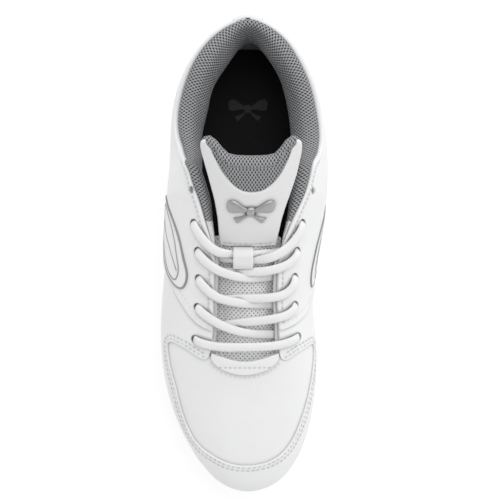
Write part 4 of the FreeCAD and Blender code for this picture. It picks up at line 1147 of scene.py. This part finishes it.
# --------------------------------------------------------------------------------------------------- laces
# How far the cord's middle runs over and under the base surface, and each strand's places (x, y, depth).
OVER = 2.6
UNDER = 5.9
KEEPER_AT = (1.8, 3.6)
KEEPER_HALF = 5.35
KEEPER_ARCH = [(-7.6, -0.4), (-6.6, 0.2), (-5.9, 2.2), (-5.3, 5.0), (-3.6, 6.6), (0, 7.0), (3.2, 6.6),
               (4.5, 5.0), (4.8, 2.2), (4.9, 0.3), (5.1, -0.7)]
CROSSINGS = {
    -1: {
        5: [(20.5, -40.6, 5.4), (5.5, -39.2, 2.6), (-4, -35.6, -0.5), (-13.8, -30.2, -OVER)],
        4: [(20.5, -23.6, 5.4), (5.5, -22, 2.6), (-4, -19.6, -0.5), (-13.8, -16, -OVER)],
        3: [(20.5, -8.2, 5.4), (5.5, -7.8, 2.6), (-4, -5.2, -0.5), (-13.8, -0.4, -OVER)],
        2: [(20.5, 4.8, 5.2), (5.5, 5.4, 3.2), (-4, 5.4, 2.6), (-13.8, 8.6, -OVER)],
    },
    1: {
        5: [(-13.4, -36, 5.6), (-3, -33.2, 3.3), (17.5, -29, -2.2), (26, -26.6, -OVER)],
        4: [(-13.4, -20.8, 5.6), (-3, -19.2, 3.3), (17.5, -17, -2.2), (26, -14, -OVER)],
        3: [(-13.4, -5.4, 5.6), (-3, -4.0, 3.3), (9, -3.4, 0.1), (17.5, -1.4, -2.2), (26, 2, -OVER)],
        2: [(-13.4, 2.8, 5.6), (-3, 1.7, 3.3), (8, 1.7, 3.0), (17.5, 5.4, -2.2), (26.5, 12, -OVER)],
    },
}
TAIL = {
    -1: [(-25.5, 14), (-27, 3), (-27.8, -8), (-27.8, -22), (-28.6, -24.8), (-30.6, -26.6), (-33, -26.6),
         (-35, -24.8), (-35.8, -22), (-35.6, -14), (-35.3, -6), (-35, 3)],
    1: [(34.0, 14), (34.4, 3), (34.4, -8), (34.4, -18.6), (34.9, -21.6), (36.1, -23.5), (37.6, -23.5),
        (38.8, -21.6), (39.4, -18.6), (39.5, -11), (39.5, -4), (39.6, 3)],
}
BAR = [(-14.5, -44.6, -OVER), (3.5, -45.2, -1.4), (21.5, -44.2, -OVER)]


def at_depth(x, y, depth):
    """The point so far under the base surface at a place of the plan."""
    return BASE.at(BASE.from_plan([(x, y)]), -depth)[0][0]


def through_eyelet(side, number):
    """Over an eyelet, then under it."""
    x, y = EYELET_PLAN[side][number]
    return [at_depth(x, y, -OVER), at_depth(x, y, UNDER)]


def lace_route():
    def strand(start_side):
        points, side = [], start_side
        for row in (5, 4, 3, 2):
            side = -side
            points += [at_depth(*spot) for spot in CROSSINGS[side][row]]
            points += through_eyelet(side, row - 1)
        return points + [at_depth(x, y, 6.2) for x, y in TAIL[side]]

    back = list(reversed(through_eyelet(-1, 5) + strand(-1)))
    middle = [at_depth(*spot) for spot in BAR]
    return np.array(back + middle + through_eyelet(1, 5) + strand(1))


def chaikin(points):
    """The line with its corners cut four times."""
    for _ in range(4):
        inner = np.empty((2 * len(points) - 2, 3))
        inner[0::2] = 0.75 * points[:-1] + 0.25 * points[1:]
        inner[1::2] = 0.25 * points[:-1] + 0.75 * points[1:]
        points = np.vstack([points[:1], inner, points[-1:]])
    return points


def lace():
    """The oval cord, swept along its route, its width turned to lie flat on the shoe."""
    path = chaikin(lace_route())
    run_all = run_of(path)
    run = np.linspace(0, run_all[-1], int(run_all[-1] / 0.8))
    path = smoothed(read_at(run, run_all, path), 3)
    tangent = unit(np.gradient(path, axis=0), 0)
    _, normal = BASE.at(BASE.from_plan(path[:, :2]), 0.0)
    side = np.cross(normal, tangent)
    weight = np.linalg.norm(side, axis=1)
    middle = len(path) // 2
    width = np.zeros_like(path)
    width[middle] = side[middle] / weight[middle]
    for order in (range(middle + 1, len(path)), range(middle - 1, -1, -1)):
        current = width[middle].copy()
        for i in order:
            current = current - tangent[i] * np.dot(current, tangent[i])
            current /= np.linalg.norm(current)
            aim = side[i] * np.sign(np.dot(side[i], current) or 1.0)
            current = current + aim * 0.10 * weight[i]
            current -= tangent[i] * np.dot(current, tangent[i])
            current /= np.linalg.norm(current)
            width[i] = current
    width = smoothed(width, 7)
    width = unit(width - tangent * np.sum(width * tangent, axis=1)[:, None], 0)
    up = np.cross(tangent, width)
    pinch = smoothed(1 - np.clip(weight, 0, 1) ** 0.7, 7)
    in_loop = (np.abs(path[:, 0] - KEEPER_AT[0]) < 8.5) & (path[:, 1] > -3) & (path[:, 1] < 9)
    in_loop = smoothed(in_loop.astype(float), 7)
    half_width = 2.62 - 0.75 * pinch - 0.7 * in_loop
    half_thick = 1.25 + 0.3 * pinch + 0.2 * in_loop
    angle = round_angles(20)
    c, s = (np.sign(wave) * np.abs(wave) ** 0.85 for wave in (np.cos(angle), np.sin(angle)))
    ribs = 0.05 * np.sin(run[:, None] * 2 * math.pi / 1.3 + np.sign(s) * 8 * (angle - math.pi / 2))
    grid = (
        path[:, None]
        + width[:, None] * (c * half_width[:, None])[..., None]
        + up[:, None] * (s * (half_thick[:, None] + ribs))[..., None]
    )
    girth = np.cumsum(np.r_[0, np.hypot(np.diff(c * 2.6), np.diff(s * 1.3))])
    uv = np.stack(np.broadcast_arrays(run[:, None], girth[None]), axis=2)
    obj = tube("lace_cord", grid, uv, LACE)
    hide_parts("lace")


lace()

# ----------------------------------------------------------------------------------------------- lace loop


def lace_loop():
    """A ribbed webbing band, sewn to the tongue and arched over the top strands."""
    x, y = KEEPER_AT
    seat = at_depth(x, y, CROWN_DEPTH)
    run = at_depth(x, y + 5, 0.0) - at_depth(x, y - 5, 0.0)
    run /= np.linalg.norm(run)
    up = np.array([0.0, -run[2], run[1]])
    line = spline_points(KEEPER_ARCH, 90)
    tangent = unit(np.gradient(line, axis=0), 0)
    out = np.column_stack([-tangent[:, 1], tangent[:, 0]])
    length = run_of(line)
    ribs = 0.14 * np.abs(np.sin(length * math.pi / 1.25))
    xs = np.linspace(-KEEPER_HALF, KEEPER_HALF, 25)
    edge = 0.35 * (np.abs(xs) / KEEPER_HALF) ** 12
    columns = []
    for sign, order in ((1, slice(None)), (-1, slice(None, None, -1))):
        for across, thin in zip(xs[order], edge[order]):
            height = 0.42 + ((ribs if sign > 0 else -0.05) - thin) * np.ones(len(line))
            flat = line + out * (sign * height)[:, None]
            point = seat + np.outer(flat[:, 0], run) + np.outer(flat[:, 1], up)
            point[:, 0] += across
            columns.append(point)
    uv = np.stack(np.broadcast_arrays(length[:, None], np.r_[xs, xs[::-1]][None]), axis=2)
    obj = tube("lace_keeper", np.stack(columns, axis=1), uv, WEBBING)
    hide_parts("lace_loop")


lace_loop()

# ----------------------------------------------------------------------------------- trim, marks, backstay


def piping(name, line, material, lift, radius, closed):
    """A raised rounded line on the leather."""
    point, normal = BASE.at(line, lift)
    if closed:
        tangent = np.roll(point, -1, axis=0) - np.roll(point, 1, axis=0)
    else:
        tangent = np.gradient(point, axis=0)
    across = np.cross(normal, unit(tangent, 0))
    angle = round_angles(10)[:, None]
    grid = (
        point[:, None] + across[:, None] * (radius * np.cos(angle))
        + normal[:, None] * (0.62 * radius * np.sin(angle))
    )
    return tube(name, grid, np.zeros((*grid.shape[:2], 2)), material, ring=closed, sharp=None)


TAPE_TOP = [(-16.4, -49.4), (-10.5, -51.4), (-4, -53.4), (2.7, -54.2), (9.4, -53.4), (16, -51.4),
            (21.8, -49.4)]
TAPE_LOW = [(22.2, -52.4), (19.6, -56), (15.6, -59.0), (9.6, -61.4), (2.7, -62.4), (-4.4, -61.4),
            (-10.4, -59.0), (-14.6, -56), (-16.8, -52.4)]


def throat_trim():
    """The tape across the front of the throat."""
    top, low = (smooth_loop(BASE.from_plan(line), 0.6) for line in (TAPE_TOP, TAPE_LOW))
    straight = smooth_loop(BASE.from_plan([(x, -57.6) for x in np.linspace(-12.4, 17.6, 12)]), 0.6)
    rows = [trimmed(offset_line(top, -1.5), 1.5, 1.5), straight, trimmed(offset_line(low, -1.4), 1.5, 1.5)]
    obj = panel("throat_tape", joined(top, low), UPPER, top=0.95, thick=1.6, cell=0.9, radius=0.7,
                dents=[(row, 0.2, 0.6, False) for row in rows])
    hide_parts("throat_trim")
    thread = stitches("throat_tape_stitching", rows, THREAD, lift=0.9, length=1.7, gap=0.9)


throat_trim()

EMBLEM = [(39, 57), (34, 65), (25.5, 70.6), (14, 72.6), (3, 71.4), (-7.5, 69), (-12, 65.8), (-9.5, 61.8),
          (2, 56), (17, 51.4), (30, 51.4)]
EMBLEM_VEIN = [(-2.5, 66.0), (8, 64.6), (19, 61.2), (28.5, 57.6)]


def side_emblem(side, drop, node):
    """A plain long leaf with a double silver outline and a vein."""
    loop = spline_points(BASE.from_side(side, [(y, z - drop) for y, z in EMBLEM]), 170, closed=True)
    obj = panel(f"{node}_leaf", loop, UPPER, top=0.55, thick=1.2, cell=1.0, radius=0.7,
                relief=lambda uv: quarter_rise(side, uv))
    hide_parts(node)
    vein = BASE.from_side(side, [(y, z - drop) for y, z in EMBLEM_VEIN])
    middle = loop.mean(axis=0)
    inner = middle + (loop - middle) * [0.82, 0.66]
    lines = [(loop, 0.30, 0.62, True), (inner, 0.52, 0.45, True), (smooth_loop(vein, 0.6), 0.52, 0.42, False)]
    for k, (line, stand, radius, closed) in enumerate(lines):
        pipe = piping(f"{node}_line_{k}", line, PEWTER, stand + quarter_rise(side, line), radius, closed)


side_emblem(-1, 0.0, "side_emblem_lateral")
side_emblem(1, 13.0, "side_emblem_medial")


class Heel:
    """The heel's outer face, unrolled: u round it from the middle, v upward."""

    def __init__(self):
        self.levels = np.arange(22.0, 84.0, 1.0)
        self.rows = np.arange(BASE.ROWS - 110, BASE.ROWS)
        self.sides = []
        for side in (-1, 1):
            part = BASE.grid[self.rows]
            part = part[:, BASE.COLS :: -1] if side < 0 else part[:, BASE.COLS :]
            table = np.zeros((len(self.rows), len(self.levels), 3))
            for i in range(len(self.rows)):
                z = -part[i, :, 2] + np.arange(part.shape[1]) * 1e-9
                for k in range(2):
                    table[i, :, k] = np.interp(-self.levels, z, part[i, :, k])
                table[i, :, 2] = self.levels
            table = table[::-1]
            start = table[0, :, 0] - 4.3
            arc = np.abs(start)[None] + np.r_[
                np.zeros((1, len(self.levels))),
                np.cumsum(np.linalg.norm(np.diff(table[..., :2], axis=0), axis=2), axis=0),
            ]
            self.sides.append((table, arc))

    def point(self, u, v):
        level = np.clip((v - self.levels[0]), 0, len(self.levels) - 1.001)
        j = level.astype(int)
        t = level - j
        out = np.zeros((len(u), 3))
        for k, sign in enumerate((-1, 1)):
            table, arc = self.sides[k]
            for i in np.nonzero(np.sign(u + 1e-12) == sign)[0]:
                values = []
                for jj in (j[i], j[i] + 1):
                    values.append([np.interp(abs(u[i]), arc[:, jj], table[:, jj, c]) for c in range(3)])
                out[i] = np.array(values[0]) * (1 - t[i]) + np.array(values[1]) * t[i]
        return out

    def at(self, uv, lift=0.0):
        u, v = uv[:, 0], uv[:, 1]
        here = self.point(u, v)
        across = self.point(u + 1.5, v) - self.point(u - 1.5, v)
        along = self.point(u, v + 1.5) - self.point(u, v - 1.5)
        normal = unit(np.cross(across, along))
        normal *= np.sign(normal[:, 1:2] + 1e-9)
        return here + normal * np.reshape(lift, (-1, 1)), normal


def backstay():
    heel = Heel()
    half = smooth_loop([(8.0, 79.0), (8.2, 72), (8.0, 62), (8.6, 50), (10.8, 38), (14.5, 28),
                        (17.0, 24.2)], 0.9)
    top = np.column_stack([np.linspace(-8, 8, 18), 79.0 + 0.5 * (1 - (np.linspace(-1, 1, 18)) ** 2)])
    low = np.column_stack([np.linspace(17.0, -17.0, 34), np.full(34, 24.2)])
    loop = joined(top, half, low, half[::-1] * [-1, 1])
    rows = [trimmed((half - [1.7, 0]) * [s, 1], 2, 2) for s in (-1, 1)]
    obj = panel("heel_strap", loop, UPPER, top=2.1, thick=2.2, cell=1.1, radius=0.9, place=heel.at, flip=True,
                dents=[(row, 0.18, 0.6, False) for row in rows])
    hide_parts("heel_backstay")
    thread = stitches("heel_strap_stitching", rows, THREAD, lift=2.05, place=heel.at)


backstay()

# --------------------------------------------------------------------------------------------- the midsole
GROUND_Y = [-138, -127, -112, -95, -78, -64, 104, 122, 138]
GROUND_Z = [12.0, 8.64, 4.56, 1.56, 0.24, 0.0, 0.0, 0.9, 3.0]


def midsole():
    """The foam wall round the foot: a bulged side with two grooves, a textured band and a rounded lip."""
    line = spline_points(SOLE_OUTLINE, 900, closed=True)
    out = -inward_of(line, 0)
    low = natural_spline(GROUND_Y, GROUND_Z, line[:, 1]) + 4.5
    high = natural_spline(FOOTBED_Y, FOOTBED_Z, line[:, 1]) + 1.6
    run = run_of(line)
    toe = np.clip((-96 - line[:, 1]) / 16, 0, 1)
    heel = np.clip((line[:, 1] - 60) / 26, 0, 1)
    ends = np.maximum(toe, heel)
    columns = [(line + out * -9.0, low + 0.05)]
    for h in np.linspace(0, 1, 64):
        bulge = 0.55 * math.sin(math.pi * min(h / 0.8, 1.0)) - 0.9 * max(0.0, (h - 0.80) / 0.2) ** 2
        groove = -0.5 * math.exp(-(((h - 0.74) / 0.018) ** 2)) - 0.5 * math.exp(-(((h - 0.80) / 0.018) ** 2))
        band = math.exp(-(((h - 0.38) / 0.26) ** 6))
        ribs = -0.22 * band * (0.5 + 0.5 * np.cos(run * 2 * math.pi / 2.4 + 9 * h)) * ends
        lines = -0.25 * (1 - ends) * band * (0.5 + 0.5 * math.cos(h * 2 * math.pi * 6)) ** 3
        away = bulge + groove + ribs + lines
        columns.append((line + out * away[:, None], low + (high - low) * h))
    for step, rise in ((-1.5, 0.35), (-2.4, 0.30), (-3.4, -0.2), (-9.0, -0.6)):
        columns.append((line + out * step, high + rise))
    grid = np.stack([np.column_stack([xy, z]) for xy, z in columns], axis=1)
    uv = np.stack(np.broadcast_arrays(run[:, None], (np.arange(grid.shape[1]) * 0.4)[None]), axis=2)
    obj = tube("midsole_wall", grid, uv, SOLE_WHITE, flip=False, ring=True)

    def core_place(uv, lift):
        return level_place(uv, natural_spline(FOOTBED_Y, FOOTBED_Z, uv[:, 1]) + lift)

    floor_loop = inset_loop(spline_points(SOLE_OUTLINE, 240, closed=True), 7.0)
    core = panel("midsole_core", floor_loop, SOLE_WHITE, top=0.2, thick=4.0, cell=4.0, place=core_place)
    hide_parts("midsole")


midsole()

# ---------------------------------------------------------------------------------------- stage and camera


def stage_set():
    mesh = bpy.data.meshes.new("floor")
    mesh.from_pydata([(-6, -6, 0), (6, -6, 0), (6, 6, 0), (-6, 6, 0)], [], [(0, 1, 2, 3)])
    floor = bpy.data.objects.new("floor", mesh)
    bpy.context.scene.collection.objects.link(floor)
    mat, _, shader = nodes_of("floor_white")
    shader.inputs["Base Color"].default_value = (0.35, 0.35, 0.35, 1)
    shader.inputs["Roughness"].default_value = 0.9
    shader.inputs["Specular IOR Level"].default_value = 0.1
    shader.inputs["Emission Color"].default_value = (1, 1, 1, 1)
    shader.inputs["Emission Strength"].default_value = 0.70
    mesh.materials.append(mat)
    world = bpy.data.worlds.new("studio")
    bpy.context.scene.world = world
    world.use_nodes = True
    sky = world.node_tree
    place = sky.nodes.new("ShaderNodeTexCoord")
    split = sky.nodes.new("ShaderNodeSeparateXYZ")
    sky.links.new(place.outputs["Generated"], split.inputs[0])
    shade = ramp(sky, split.outputs["Z"], [(0.0, 0.92), (0.30, 0.92), (0.55, 0.38), (1.0, 0.38)])
    sky.links.new(shade, sky.nodes["Background"].inputs["Color"])
    sky.nodes["Background"].inputs["Strength"].default_value = 1.0

    def light(name, place, aim, size, power):
        data = bpy.data.lights.new(name, "AREA")
        data.shape = "RECTANGLE"
        data.size, data.size_y = size
        data.energy = power
        lamp = bpy.data.objects.new(name, data)
        lamp.location = place
        lamp.rotation_euler = (Vector(aim) - Vector(place)).to_track_quat("-Z", "Y").to_euler()
        bpy.context.scene.collection.objects.link(lamp)

    light("softbox", (0.3, 0.55, 1.5), (0, 0, 0.04), (2.0, 1.8), 22.5)
    data = bpy.data.cameras.new("camera")
    data.lens = 56.16
    data.sensor_width = 36
    data.clip_start = 0.01
    camera = bpy.data.objects.new("camera", data)
    camera.location = (0.0055, 0.0087, 0.5)
    camera.rotation_euler = (0, 0, 0)
    bpy.context.scene.collection.objects.link(camera)
    bpy.context.scene.camera = camera
    bpy.context.scene.view_settings.view_transform = "Standard"


stage_set()
for mat, node_names in (
    (RUBBER, "outsole"),
    (SOLE_WHITE, "midsole"),
    (BOARD, "lasting_board"),
    (BLACK, "sockliner"),
    (UPPER, "heel_backstay throat_trim"),
    (HIDDEN, "toe_puff heel_counter eyestay_backing_lateral eyestay_backing_medial"),
    (LINING, "vamp_lining heel_lining"),
    (GREY_MESH, "collar_lining collar_foam tongue_pad tongue_lining"),
    (SILVER, "side_emblem_lateral side_emblem_medial tongue_badge"),
    (TONGUE_MESH, "tongue_lower"),
    (TONGUE_LEATHER, "tongue_cover"),
    (WEBBING, "lace_loop"),
    (LACE, "lace"),
    (PLASTIC, "aglet_medial aglet_lateral"),
):
    for node_name in node_names.split():
        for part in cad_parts[node_name].material_slots:
            part.material = mat
